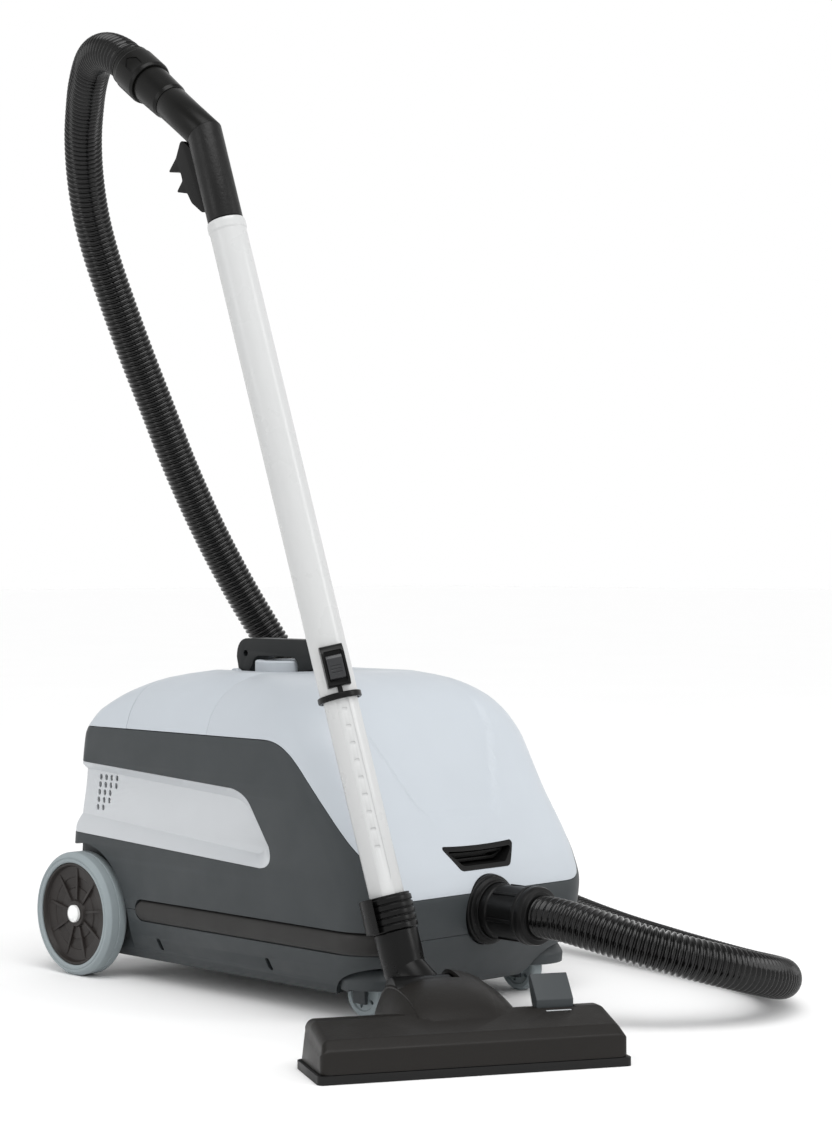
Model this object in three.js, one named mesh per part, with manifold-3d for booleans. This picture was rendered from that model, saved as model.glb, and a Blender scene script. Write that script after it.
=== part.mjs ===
// A canister vacuum cleaner for commercial floors, with its hose, telescopic wand and floor nozzle.
// Units are millimetres, +Z is up, and the canister's front faces -Y.
// The canister is drawn about its own middle, and the whole object is moved at the end, so that its
// origin is on the floor under the middle of everything but the hose.
import * as THREE from 'three';
import * as BufferGeometryUtils from 'three/addons/utils/BufferGeometryUtils.js';
import Module from 'manifold-3d';

const wasm = await Module();
wasm.setup();

// ---------- driving dimensions ----------
const GAP = 0.4;                        // clearance between neighbouring pieces
const WALL = 3;                         // moulded wall

const SEAM_Z = 76;                      // chassis meets the upper housing
const LID_REAR_Y = 16;                  // lid meets the top cover
const TOP_COVER_REAR_Y = 144;           // top cover meets the rear cover
const COVER_EDGE_Z = 259.5;             // lower edge of the covers along the sides

const SIDE_X = 156;                     // half the body's width
const PANEL_DEPTH = 15;                 // how far the side panel is sunk into the body

const WHEEL = { y: 217, radius: 64, rim: 53, inner: 143, outer: 170 };
const ARCH = { radius: 73, x: 138 };
const CASTER = { x: 106, y: -176, trail: 10, radius: 23, width: 15, pocket: 37, top: 56 };

const INLET = { z: 97, y: -222, flange: 33.5, cuff: 26, bore: 17, end: -291 };
const WELL = { x: 50, front: 23, rear: 139, floor: 296, corner: 18 };
const TURRET = { y: 74, radius: 31, top: 321 };
const HANDLE_PIVOT = { y: 131, z: 309, heel: 7.6 };
const MOTOR = { z: 152, radius: 62 };

const PIVOT = new THREE.Vector3(-163, -313, 40);   // nozzle drum, where the wand tips
const WAND_BEHIND = 30.5;               // wand axis behind the pivot, at the pivot's height
const WAND_LINE = new THREE.Vector3(-0.06, 0.291, 1).normalize();
const ARM_LINE = new THREE.Vector3(0, Math.cos(0.623), Math.sin(0.623));
const INNER_TUBE = { radius: 16, bore: 14, from: 72, to: 545 };
const OUTER_TUBE = { radius: 17.6, bore: 16.4, from: 285, to: 751 };
const COLLAR = { from: 290, to: 333 };
const CUFF = { from: 70, to: 102 };
const NECK_BEND = 36;                   // along the wand, where the neck turns into the drum
const GRIP_BEND = 840;                  // along the wand, where the grip turns towards the hose
const ARM = { sleeve: 62, cuff: 101, end: 142 };

const NOZZLE_YAW = -0.4852;             // the nozzle is steered to the canister's left
const NOZZLE = { width: 275, pivotY: 121, sole: 7.5, depth: 74 };
const HOSE_RADIUS = 20;
const UP = new THREE.Vector3(0, 0, 1);

// ---------- materials ----------
const finish = (color, roughness, metalness = 0) =>
  new THREE.MeshStandardMaterial({ color, roughness, metalness });
const LIGHT_GREY = finish(0xc8cfd4, 0.45);
const DARK_GREY = finish(0x464c4f, 0.55);
const SILVER = finish(0xcfd2d3, 0.4);
const BLACK = finish(0x1c1c1c, 0.5);
const NOZZLE_BLACK = finish(0x3a3431, 0.7);
const TYRE_GREY = finish(0xa5b2b6, 0.7);
const RUBBER = finish(0x161616, 0.85);
const TUBE_WHITE = finish(0xeeeeec, 0.35);
const STEEL = finish(0xb8bcc0, 0.3, 1);
const PAPER = finish(0xd9cdb4, 0.95);
const FILTER = finish(0xe8e8e4, 0.95);
const CAP_WHITE = finish(0xf2f2f0, 0.35);
const HOSE_BLACK = finish(0x0e0e0e, 0.25);

// ---------- solids ----------
function solid(geometry) {
  const bare = geometry.clone();
  bare.deleteAttribute('normal');
  bare.deleteAttribute('uv');
  const merged = BufferGeometryUtils.mergeVertices(bare, 1e-4);
  const corners = merged.index.array;
  const triangles = [];
  for (let i = 0; i < corners.length; i += 3) {
    const [a, b, c] = [corners[i], corners[i + 1], corners[i + 2]];
    if (a !== b && b !== c && c !== a) triangles.push(a, b, c);
  }
  if (volumeOf(merged.attributes.position, triangles) < 0) triangles.reverse();
  return new wasm.Manifold(new wasm.Mesh({
    numProp: 3,
    vertProperties: new Float32Array(merged.attributes.position.array),
    triVerts: new Uint32Array(triangles),
  }));
}

function volumeOf(position, triangles) {
  const [a, b, c] = [new THREE.Vector3(), new THREE.Vector3(), new THREE.Vector3()];
  let volume = 0;
  for (let i = 0; i < triangles.length; i += 3) {
    a.fromBufferAttribute(position, triangles[i]);
    b.fromBufferAttribute(position, triangles[i + 1]);
    c.fromBufferAttribute(position, triangles[i + 2]);
    volume += a.dot(b.cross(c)) / 6;
  }
  return volume;
}

function geometryOf(manifold) {
  const mesh = manifold.getMesh();
  const geometry = new THREE.BufferGeometry();
  geometry.setAttribute('position', new THREE.BufferAttribute(mesh.vertProperties, 3));
  geometry.setIndex(new THREE.BufferAttribute(mesh.triVerts, 1));
  geometry.computeVertexNormals();
  return geometry;
}

const join = (...pieces) => pieces.reduce((sum, piece) => sum.add(piece));
const cut = (body, ...tools) => tools.reduce((rest, tool) => rest.subtract(tool), body);

const AXES = {
  x: new THREE.Matrix4().makeBasis(
    new THREE.Vector3(0, 1, 0), new THREE.Vector3(0, 0, 1), new THREE.Vector3(1, 0, 0)),
  y: new THREE.Matrix4().makeBasis(
    new THREE.Vector3(1, 0, 0), new THREE.Vector3(0, 0, 1), new THREE.Vector3(0, -1, 0)),
  z: new THREE.Matrix4(),
};

// An outline swept straight along an axis. Its two coordinates are (y, z) along X, (x, z) along Y
// and (x, y) along Z.
function prism(shape, axis, from, to, segments = 8) {
  const geometry = new THREE.ExtrudeGeometry(
    withoutRepeats(shape, segments), { depth: to - from, bevelEnabled: false });
  geometry.applyMatrix4(AXES[axis]);
  if (axis === 'x') geometry.translate(from, 0, 0);
  if (axis === 'y') geometry.translate(0, to, 0);
  if (axis === 'z') geometry.translate(0, 0, from);
  return solid(geometry);
}

// The outline as a polygon, without the points that two joined stretches share.
function withoutRepeats(shape, segments) {
  const points = shape.getPoints(segments);
  const apart = (point, i) => point.distanceTo(points.at(i - 1)) > 1e-3;
  return new THREE.Shape(points.filter(apart));
}

const polygon = (points) => new THREE.Shape(points.map(([a, b]) => new THREE.Vector2(a, b)));

function box(x0, x1, y0, y1, z0, z1) {
  return prism(polygon([[x0, y0], [x1, y0], [x1, y1], [x0, y1]]), 'z', z0, z1);
}

function roundedBox(x0, x1, y0, y1, z0, z1, radius) {
  return prism(roundedRectangle(x0, x1, y0, y1, radius), 'z', z0, z1, 4);
}

function roundedRectangle(x0, x1, y0, y1, radius) {
  const shape = new THREE.Shape();
  shape.absarc(x1 - radius, y0 + radius, radius, -Math.PI / 2, 0);
  shape.absarc(x1 - radius, y1 - radius, radius, 0, Math.PI / 2);
  shape.absarc(x0 + radius, y1 - radius, radius, Math.PI / 2, Math.PI);
  shape.absarc(x0 + radius, y0 + radius, radius, Math.PI, Math.PI * 1.5);
  return shape;
}

// A profile of [radius, place along the axis] turned about an axis through the given centre.
function turned(profile, axis, centre = [0, 0, 0], segments = 22) {
  const geometry = new THREE.LatheGeometry(
    profile.map(([radius, along]) => new THREE.Vector2(radius, along)), segments);
  if (axis === 'x') geometry.rotateZ(-Math.PI / 2);
  if (axis === 'z') geometry.rotateX(Math.PI / 2);
  geometry.translate(...centre);
  return solid(geometry);
}

function cylinder(radius, axis, from, to, centre = [0, 0, 0], segments = 20) {
  return turned([[0, from], [radius, from], [radius, to], [0, to]], axis, centre, segments);
}

function pipe(radius, bore, axis, from, to, centre = [0, 0, 0], segments = 20) {
  const wall = [[bore, from], [radius, from], [radius, to], [bore, to], [bore, from]];
  return turned(wall, axis, centre, segments);
}

// A closed solid through rings of points, each ring with the same number of corners.
function loft(rings) {
  const count = rings[0].length;
  const positions = rings.flat().flatMap((point) => point.toArray());
  const index = [];
  for (let level = 0; level + 1 < rings.length; level += 1) {
    for (let i = 0; i < count; i += 1) {
      const next = (i + 1) % count;
      const [a, b] = [level * count + i, level * count + next];
      index.push(a, b, b + count, a, b + count, a + count);
    }
  }
  const capRing = (ring, start, flip) => {
    const middle = ring.reduce((sum, point) => sum.add(point), new THREE.Vector3())
      .divideScalar(count);
    positions.push(...middle.toArray());
    const centre = positions.length / 3 - 1;
    for (let i = 0; i < count; i += 1) {
      const next = (i + 1) % count;
      index.push(...(flip ? [start + next, start + i, centre] : [start + i, start + next, centre]));
    }
  };
  capRing(rings[0], 0, true);
  capRing(rings.at(-1), (rings.length - 1) * count, false);
  const geometry = new THREE.BufferGeometry();
  geometry.setAttribute('position', new THREE.Float32BufferAttribute(positions, 3));
  geometry.setIndex(index);
  return solid(geometry);
}

// ---------- assembly ----------
// Wand coordinates: Z runs up along the tubes, and its origin is the point nearest the pivot.
const vacuum = new THREE.Group();
const canister = new THREE.Group();
const wand = new THREE.Group();
const wandStart = new THREE.Vector3(0, WAND_BEHIND, 0);
wandStart.addScaledVector(WAND_LINE, -wandStart.dot(WAND_LINE));
wand.position.copy(PIVOT).add(wandStart);
wand.quaternion.setFromUnitVectors(UP, WAND_LINE);
const nozzle = new THREE.Group();
nozzle.position.set(PIVOT.x, PIVOT.y, 0);
nozzle.rotation.z = NOZZLE_YAW;
const hose = new THREE.Group();
vacuum.add(canister, wand, nozzle, hose);

function place(name, manifold, material, group, position = [0, 0, 0]) {
  const mesh = new THREE.Mesh(geometryOf(manifold), material);
  mesh.name = name;
  mesh.position.set(...position);
  group.add(mesh);
}

// ---------- the canister's outer form ----------
// Levels of the form: height, front, rear, half width, front corner and rear corner radius.
const LEVELS = [
  [22, -196, 222, 132, 44, 20],
  [60, -217, 238, 151, 48, 16],
  [90, -224, 241, 155, 48, 16],
  [112, -226, 241, SIDE_X, 48, 16],
  [135, -219, 240, SIDE_X, 48, 16],
  [160, -205, 237, SIDE_X, 48, 16],
  [200, -179, 229, SIDE_X, 50, 16],
  [250, -151, 223, SIDE_X, 52, 18],
  [272, -138, 214, 151, 54, 24],
  [290, -124, 195, 141, 56, 34],
  [303, -108, 174, 126, 56, 40],
  [312, -90, 152, 108, 54, 44],
  [318, -66, 122, 84, 50, 46],
];

function ringAt([z, front, rear, halfWidth, frontRadius, rearRadius], inset) {
  const ring = [];
  const corner = (x, y, radius, start, steps) => {
    const r = Math.max(radius - inset, 2);
    for (let i = 0; i <= steps; i += 1) {
      const angle = start + (i / steps) * (Math.PI / 2);
      ring.push(new THREE.Vector3(x + r * Math.cos(angle), y + r * Math.sin(angle), z));
    }
  };
  const [fx, rx] = [halfWidth - frontRadius, halfWidth - rearRadius];
  corner(-fx, front + frontRadius, frontRadius, Math.PI, 5);
  corner(fx, front + frontRadius, frontRadius, 1.5 * Math.PI, 5);
  corner(rx, rear - rearRadius, rearRadius, 0, 3);
  corner(-rx, rear - rearRadius, rearRadius, Math.PI / 2, 3);
  return ring;
}

function canisterForm(inset) {
  const crown = 250;
  return loft(LEVELS.map((level) => {
    const drop = level[0] > crown ? inset : 0;
    const lift = level === LEVELS[0] ? inset : 0;
    return ringAt([level[0] - drop + lift, ...level.slice(1)], inset);
  }));
}

// Where the covers meet the body, seen from the side: level along the sides, then down the front.
function seamShape(shift, top) {
  const shape = new THREE.Shape();
  const z = (height) => height + shift;
  shape.moveTo(280, z(COVER_EDGE_Z));
  shape.lineTo(-68, z(COVER_EDGE_Z));
  shape.bezierCurveTo(-98, z(COVER_EDGE_Z), -110, z(248), -126, z(230));
  shape.bezierCurveTo(-152, z(200), -176, z(172), -200, z(150));
  shape.bezierCurveTo(-212, z(136), -216, z(113), -236, z(112));
  shape.lineTo(-280, z(112));
  shape.lineTo(-280, top);
  shape.lineTo(280, top);
  return shape;
}

const archAt = (side, radius, x) =>
  cylinder(radius, 'x', side > 0 ? x : -220, side > 0 ? 220 : -x, [0, WHEEL.y, WHEEL.radius], 32);
const casterPocket = (side, radius, top) =>
  cylinder(radius, 'z', 0, top, [side * CASTER.x, CASTER.y, 0]);

const outerForm = cut(
  canisterForm(0),
  archAt(-1, ARCH.radius, ARCH.x), archAt(1, ARCH.radius, ARCH.x),
  casterPocket(-1, CASTER.pocket, CASTER.top), casterPocket(1, CASTER.pocket, CASTER.top));
const innerForm = cut(
  canisterForm(WALL),
  archAt(-1, ARCH.radius + WALL, ARCH.x - WALL), archAt(1, ARCH.radius + WALL, ARCH.x - WALL),
  casterPocket(-1, CASTER.pocket + WALL, CASTER.top + WALL),
  casterPocket(1, CASTER.pocket + WALL, CASTER.top + WALL));
const shell = outerForm.subtract(innerForm);

const everywhere = (z0, z1) => box(-300, 300, -300, 300, z0, z1);
const underCovers = prism(seamShape(-GAP, -20), 'x', -300, 300);
const aboveSeam = prism(seamShape(GAP, 400), 'x', -300, 300);
const inletHole = cylinder(INLET.flange + 0.6, 'y', -260, -190, [0, 0, INLET.z], 32);

// ---------- side panels ----------
// Outlines of the sunk side panel in (y, z): its mouth in the body's side, and its sunk face.
function panelMouth(margin) {
  const shape = new THREE.Shape();
  shape.moveTo(270, 225 + margin);
  shape.lineTo(-24, 210 + margin);
  shape.quadraticCurveTo(-44 - margin, 207 + margin, -53 - margin, 194);
  shape.lineTo(-79 - margin, 158);
  shape.quadraticCurveTo(-87 - margin, 138, -66, 136 - margin);
  shape.lineTo(270, 150 - margin);
  return shape;
}

function panelFace() {
  const shape = new THREE.Shape();
  shape.moveTo(270, 216);
  shape.lineTo(-16, 199);
  shape.quadraticCurveTo(-31, 196, -37, 187);
  shape.lineTo(-56, 162);
  shape.quadraticCurveTo(-61, 149, -48, 147);
  shape.lineTo(270, 168);
  return shape;
}

function panelTray(side) {
  const ring = (shape, depth) => shape.getSpacedPoints(26).slice(0, 26)
    .map(({ x, y }) => new THREE.Vector3(side * (SIDE_X - depth), x, y));
  return loft([ring(panelMouth(0), -1), ring(panelMouth(0), 0), ring(panelFace(), PANEL_DEPTH)]);
}

function sideSlab(side, shape, depth) {
  const [near, far] = [SIDE_X - depth, SIDE_X + 10];
  return prism(shape, 'x', side > 0 ? near : -far, side > 0 ? far : -near, 4);
}

function ventSlots(side) {
  const slots = [];
  for (let row = 0; row < 5; row += 1) {
    for (let column = 0; column < 4; column += 1) {
      const [y, z] = [204 - column * 9 + row * 1.4, 206 - row * 8];
      slots.push(sideSlab(side, polygon(
        [[y - 1.8, z - 2.8], [y + 1.8, z - 2.8], [y + 1.8, z + 2.8], [y - 1.8, z + 2.8]]), 30));
    }
  }
  return slots;
}

for (const side of [-1, 1]) {
  const name = side < 0 ? 'left' : 'right';
  const trimmed = cut(sideSlab(side, panelMouth(0), PANEL_DEPTH + WALL), panelTray(side))
    .intersect(canisterForm(0.2));
  place(`side_panel_${name}`, cut(trimmed, ...ventSlots(side)), SILVER, canister);
}

// ---------- body ----------
const bumperShape = (margin) =>
  roundedRectangle(-260, 130 + margin, 65 - margin, 87 + margin, 10.5);
const bumperBand = (margin) => cut(
  prism(bumperShape(margin), 'x', -200, 200, 6), canisterForm(4 + margin),
  box(margin - 58, 58 - margin, -300, 0, 40, 120));
const bumperGroove = bumperBand(GAP);

const grilleOpening = prism(roundedRectangle(-132, 132, 152, 219, 6), 'y', 205, 260, 4);
const sidePockets = [-1, 1].map((side) => sideSlab(side, panelMouth(GAP), PANEL_DEPTH + 8));
const mainsHole = prism(roundedRectangle(60, 96, 96, 122, 4), 'y', 220, 260, 4);

const bumperBacking = prism(roundedRectangle(-230, 136, 59, 93, 12), 'x', -200, 200, 6)
  .intersect(canisterForm(2)).subtract(canisterForm(8))
  .subtract(box(-54, 54, -300, 0, 40, 120));
const body = shell.add(bumperBacking.intersect(outerForm));

const axleHole = cylinder(5 + GAP, 'x', -170, 170, [0, WHEEL.y, WHEEL.radius], 16);
const stemHoles = [-1, 1].map((side) =>
  cylinder(4 + GAP, 'z', 40, 70, [side * CASTER.x, CASTER.y, 0], 12));
const slottedHoles = [102, -66].flatMap((y) => [-1, 1].map((side) =>
  sideSlab(side, roundedRectangle(y - 3, y + 3, 36, 49, 2.8), 30)));
place('chassis', cut(body.intersect(everywhere(0, SEAM_Z - GAP)),
  bumperGroove, inletHole, axleHole, ...stemHoles, ...slottedHoles), DARK_GREY, canister);
place('upper_housing', cut(body.intersect(underCovers).intersect(everywhere(SEAM_Z, 300)),
  bumperGroove, inletHole, grilleOpening, mainsHole, ...sidePockets), DARK_GREY, canister);

const bumper = bumperBand(0).intersect(canisterForm(-0.6)).subtract(bumperBand(0)
  .intersect(canisterForm(3.4)));
const bumperLeft = bumper.intersect(box(-300, 0, -300, 300, 0, 300));
place('bumper_left', bumperLeft, RUBBER, canister);
place('bumper_right', bumperLeft.mirror([1, 0, 0]), RUBBER, canister);

// ---------- covers ----------
const covers = shell.intersect(aboveSeam);
const between = (y0, y1) => box(-300, 300, y0, y1, 0, 400);
const latchOutline = (grow) => {
  const shape = new THREE.Shape();
  shape.moveTo(-50 - grow, 159 + grow);
  shape.lineTo(-35 - grow, 139 - grow * 0.4);
  shape.quadraticCurveTo(-32 - grow, 136 - grow, -26, 136 - grow);
  shape.lineTo(26, 136 - grow);
  shape.quadraticCurveTo(32 + grow, 136 - grow, 35 + grow, 139 - grow * 0.4);
  shape.lineTo(50 + grow, 159 + grow);
  return shape;
};
place('lid', cut(covers.intersect(between(-300, LID_REAR_Y - GAP)),
  inletHole, prism(latchOutline(GAP), 'y', -260, -150, 4)), LIGHT_GREY, canister);

const latchBezel = cut(
  prism(latchOutline(0), 'y', -240, -186, 4).intersect(canisterForm(0.3)),
  prism(latchOutline(-4), 'y', -260, -190, 4));
place('latch_bezel', latchBezel, BLACK, canister);
const latchLever = cut(
  prism(polygon([[-39, 154.4], [-31, 142.5], [31, 142.5], [39, 154.4]]), 'y', -203, -190.5),
  prism(polygon([[-34, 151.5], [-28, 145], [28, 145], [34, 151.5]]), 'y', -240, -194));
place('latch_lever', latchLever, BLACK, canister);

const wellShape = (inset) => roundedRectangle(
  -WELL.x + inset, WELL.x - inset, WELL.front + inset, WELL.rear - inset, WELL.corner - inset);
const wellTub = cut(
  prism(wellShape(-WALL), 'z', WELL.floor - WALL, 400).intersect(canisterForm(0.5)),
  prism(wellShape(0), 'z', WELL.floor, 400));
const turretWall = cut(
  cylinder(TURRET.radius, 'z', WELL.floor - 2, TURRET.top, [0, TURRET.y, 0], 32),
  cylinder(TURRET.radius - 7, 'z', WELL.floor, 400, [0, TURRET.y, 0]));
const clevis = [-1, 1].map((side) => {
  const [inner, outer] = side < 0 ? [-21, -15] : [15, 21];
  return prism(roundedRectangle(123, 139, WELL.floor - 1, 318, 6), 'x', inner, outer, 4);
});
const buttonHole = cylinder(6, 'z', 280, WELL.floor + 5, [0, TURRET.y, 0], 16);
const pinHole = cylinder(3.4, 'x', -30, 30, [0, HANDLE_PIVOT.y, HANDLE_PIVOT.z], 12);
const topCover = cut(covers.intersect(between(LID_REAR_Y, TOP_COVER_REAR_Y)),
  prism(wellShape(0), 'z', WELL.floor, 400));
place('top_cover', cut(join(topCover, wellTub, turretWall, ...clevis), buttonHole, pinHole),
  LIGHT_GREY, canister);

const rearUndercut = prism(polygon([[205, 200], [280, 200], [280, 268], [214, 264]]), 'x', -300, 300);
place('rear_cover', cut(covers.intersect(between(TOP_COVER_REAR_Y + GAP, 300)), rearUndercut),
  LIGHT_GREY, canister);
const rearDeck = box(-149, 149, 176, 216, 254.5, 258).intersect(canisterForm(WALL + 1));
place('rear_deck', rearDeck, BLACK, canister);

// ---------- carry handle and power button ----------
const handleOutline = new THREE.Shape();
handleOutline.moveTo(136.5, 330);
handleOutline.quadraticCurveTo(136, 350, 118, 350);
handleOutline.lineTo(16, 350);
handleOutline.quadraticCurveTo(4, 349, 5, 336);
handleOutline.quadraticCurveTo(7, 324, 24, 318);
handleOutline.lineTo(28, WELL.floor + 6);
handleOutline.lineTo(40, WELL.floor + 6);
handleOutline.lineTo(39, 322);
handleOutline.quadraticCurveTo(40, 331, 50, 332);
handleOutline.lineTo(98, 332);
handleOutline.quadraticCurveTo(110, 331, 111, 322);
handleOutline.absarc(HANDLE_PIVOT.y, HANDLE_PIVOT.z, HANDLE_PIVOT.heel, Math.PI, Math.PI * 2 + 1.3);
place('carry_handle', cut(prism(handleOutline, 'x', -13, 13, 5),
  pinHole, cylinder(3.4, 'x', -30, 30, [0, 122, 334], 12)), DARK_GREY, canister);
place('handle_pin', cylinder(3, 'x', -20.5, 20.5, [0, HANDLE_PIVOT.y, HANDLE_PIVOT.z], 12),
  STEEL, canister);
place('power_button', join(
  cylinder(TURRET.radius - 7.6, 'z', 315, 322.5, [0, TURRET.y, 0]),
  cylinder(5.4, 'z', 290, 316, [0, TURRET.y, 0], 16)), DARK_GREY, canister);
place('power_switch', roundedBox(-14, 14, 60, 88, 262, 284, 3), BLACK, canister);

// ---------- rear end ----------
const grilleSlots = Array.from({ length: 9 }, (_, i) =>
  box(-114 + i * 26, -94 + i * 26, 216, 260, 160, 211));
const grille = prism(roundedRectangle(-131.6, 131.6, 152.4, 218.6, 6), 'y', 216, 250, 4)
  .intersect(canisterForm(2)).subtract(canisterForm(6));
place('exhaust_grille', cut(grille, ...grilleSlots), BLACK, canister);
place('exhaust_filter', roundedBox(-120, 120, 190, 214, 155, 216, 4), FILTER, canister);
const socket = prism(roundedRectangle(60.5, 95.5, 96.5, 121.5, 4), 'y', 205, 243, 4);
const socketMouth = prism(roundedRectangle(64, 92, 100, 118, 3), 'y', 222, 260, 4);
place('mains_inlet', cut(socket, socketMouth), BLACK, canister);

// ---------- suction side ----------
place('bulkhead', cut(box(-137, 137, -20, -16, 82, 252),
  cylinder(30, 'y', -40, 0, [0, 0, MOTOR.z])), DARK_GREY, canister);
place('motor_filter', roundedBox(-62, 62, -31, -21, 92, 212, 3), FILTER, canister);
place('motor_seal', pipe(40, 30.5, 'y', -15.5, 1.5, [0, 0, MOTOR.z]), RUBBER, canister);
const motorProfile = [
  [22, 2], [MOTOR.radius, 2], [MOTOR.radius, 46], [46, 50], [46, 138], [20, 144], [20, 150],
  [7, 150], [7, 40], [56, 38], [56, 8], [22, 8], [22, 2],
];
place('motor', turned(motorProfile, 'y', [0, 0, MOTOR.z], 16), STEEL, canister);
const blade = (angle) => {
  const geometry = new THREE.BoxGeometry(42, 14, 2);
  geometry.translate(28, 20, 0);
  geometry.rotateY(angle);
  geometry.translate(0, 0, MOTOR.z);
  return solid(geometry);
};
place('fan', join(
  turned([[0, 12], [10, 12], [10, 28], [51, 28], [51, 31], [5.5, 31], [5.5, 145], [0, 145]],
    'y', [0, 0, MOTOR.z], 14),
  ...Array.from({ length: 8 }, (_, i) => blade((i / 8) * Math.PI * 2))), STEEL, canister);

const bag = new THREE.SphereGeometry(1, 14, 8);
bag.scale(108, 69, 66);
bag.translate(0, -112, 156);
place('dust_bag', solid(bag), PAPER, canister);
place('bag_plate', cut(prism(roundedRectangle(-48, 48, 88, 160, 8), 'y', -186, -182.5, 4),
  cylinder(17.5, 'y', -220, -150, [0, 0, INLET.z + 16])), PAPER, canister);

// ---------- hose inlet ----------
place('inlet_flange', turned([
  [26.6, -12], [26.6, 22], [29, 22], [29, 1], [INLET.flange, 1], [INLET.flange, -4], [31, -7],
  [28, -7], [28, -12], [26.6, -12],
], 'y', [0, INLET.y, INLET.z], 20), BLACK, canister);
place('inlet_cuff', turned([
  [INLET.bore, INLET.end + 0.5], [23, INLET.end + 0.5], [27, -289], [28, -286], [28, -276],
  [26, -274], [25, -242], [INLET.cuff, -240], [INLET.cuff, -203], [INLET.bore, -203],
  [INLET.bore, INLET.end + 0.5],
], 'y', [0, 0, INLET.z], 20), BLACK, canister);

// ---------- rear wheels ----------
place('rear_axle', cylinder(5, 'x', -164, 164, [0, WHEEL.y, WHEEL.radius], 16), STEEL, canister);
for (const side of [-1, 1]) {
  const name = side < 0 ? 'left' : 'right';
  const at = [0, WHEEL.y, WHEEL.radius];
  const along = (profile) => profile.map(([radius, x]) => [radius, side * x]);
  place(`tyre_${name}`, turned(along([
    [WHEEL.rim + 0.3, WHEEL.inner], [60, WHEEL.inner], [WHEEL.radius, 148], [WHEEL.radius, 165],
    [60, WHEEL.outer], [WHEEL.rim + 0.3, WHEEL.outer - 1], [WHEEL.rim + 0.3, WHEEL.inner],
  ]), 'x', at, 28), TYRE_GREY, canister);
  place(`wheel_disc_${name}`, turned(along([
    [5.4, 146], [12, 146], [14, 154], [WHEEL.rim, 154], [WHEEL.rim, 168],
    [48, 168], [44, 163], [12, 165], [5.4, 165], [5.4, 146],
  ]), 'x', at, 28), NOZZLE_BLACK, canister);
  place(`axle_cap_${name}`, turned(along([[0, 165.4], [9, 165.4], [9, 168.5], [6, 170.5], [0, 171]]),
    'x', at, 16), CAP_WHITE, canister);
}

// ---------- front casters ----------
for (const side of [-1, 1]) {
  const name = side < 0 ? 'left' : 'right';
  const [x, y] = [side * CASTER.x, CASTER.y];
  const wheelY = y + CASTER.trail;
  const fork = cut(
    join(
      turned([[0, 14], [24, 14], [33, 24], [34, 40], [28, 50], [9, 52], [9, 55], [0, 55]],
        'z', [x, y, 0]),
      cylinder(4, 'z', 50, 66, [x, y, 0], 12)),
    box(x - 8.6, x + 8.6, y - 14, wheelY + 27, 0, 50),
    box(x - 50, x + 50, wheelY + 4, wheelY + 60, 0, 20));
  place(`caster_fork_${name}`, fork, DARK_GREY, canister);
  place(`caster_axle_${name}`, cylinder(2.6, 'x', x - 8.2, x + 8.2, [0, wheelY, CASTER.radius], 12),
    STEEL, canister);
  place(`caster_wheel_${name}`, pipe(CASTER.radius, 3, 'x', x - 7.5, x + 7.5,
    [0, wheelY, CASTER.radius], 22), TYRE_GREY, canister);
}

// ---------- wand ----------
const CATCH_SIDE = -2.2;                // the side of the wand that the catch and its notches face
const notches = Array.from({ length: 9 }, (_, i) => {
  const geometry = new THREE.BoxGeometry(6, 5, 7);
  geometry.translate(INNER_TUBE.radius, 0, 146 + i * 16);
  geometry.rotateZ(CATCH_SIDE);
  return solid(geometry);
});
place('inner_tube', cut(pipe(INNER_TUBE.radius, INNER_TUBE.bore, 'z', INNER_TUBE.from,
  INNER_TUBE.to), ...notches), TUBE_WHITE, wand);
place('outer_tube', turned([
  [OUTER_TUBE.bore, OUTER_TUBE.from], [OUTER_TUBE.radius, OUTER_TUBE.from],
  [OUTER_TUBE.radius, OUTER_TUBE.to - 11], [18.4, OUTER_TUBE.to - 8],
  [18.4, OUTER_TUBE.to - 4], [OUTER_TUBE.radius, OUTER_TUBE.to],
  [OUTER_TUBE.bore, OUTER_TUBE.to], [OUTER_TUBE.bore, OUTER_TUBE.from],
], 'z'), TUBE_WHITE, wand);

const catchBox = (depth0, depth1, half, from, to) => {
  const geometry = new THREE.BoxGeometry(depth1 - depth0, half * 2, to - from);
  geometry.translate((depth0 + depth1) / 2, 0, (from + to) / 2);
  geometry.rotateZ(CATCH_SIDE);
  return solid(geometry);
};
place('telescope_collar', cut(join(
  pipe(20.8, OUTER_TUBE.radius + GAP, 'z', COLLAR.from, COLLAR.to),
  cut(catchBox(18.4, 26, 11, COLLAR.from + 4, COLLAR.to - 3),
    cylinder(18.2, 'z', COLLAR.from - 5, COLLAR.to + 5))),
catchBox(21.2, 40, 8.4, COLLAR.from + 7, COLLAR.to - 6)), BLACK, wand);
place('release_slider', catchBox(21.6, 27.5, 8, COLLAR.from + 11, COLLAR.to - 10), DARK_GREY, wand);

const ribs = Array.from({ length: 5 }, (_, i) => CUFF.from + i * 6)
  .flatMap((z) => [[19.6, z], [21.4, z + 1], [21.4, z + 4.4]]);
place('wand_cuff', turned([
  [16.4, CUFF.from], ...ribs, [19.6, CUFF.to], [16.4, CUFF.to], [16.4, CUFF.from],
], 'z', [0, 0, 0], 18), BLACK, wand);
place('parking_clip', cut(
  pipe(27, 21.8, 'z', CUFF.from - 14, CUFF.to),
  box(-14, 60, -60, 60, 0, 200)), BLACK, wand);

// ---------- grip ----------
const grip = new THREE.Group();
grip.position.set(0, 0, GRIP_BEND);
wand.add(grip);
const arm = new THREE.Group();
const armLine = ARM_LINE.clone().applyQuaternion(wand.quaternion.clone().invert());
arm.quaternion.setFromUnitVectors(UP, armLine);
grip.add(arm);

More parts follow.
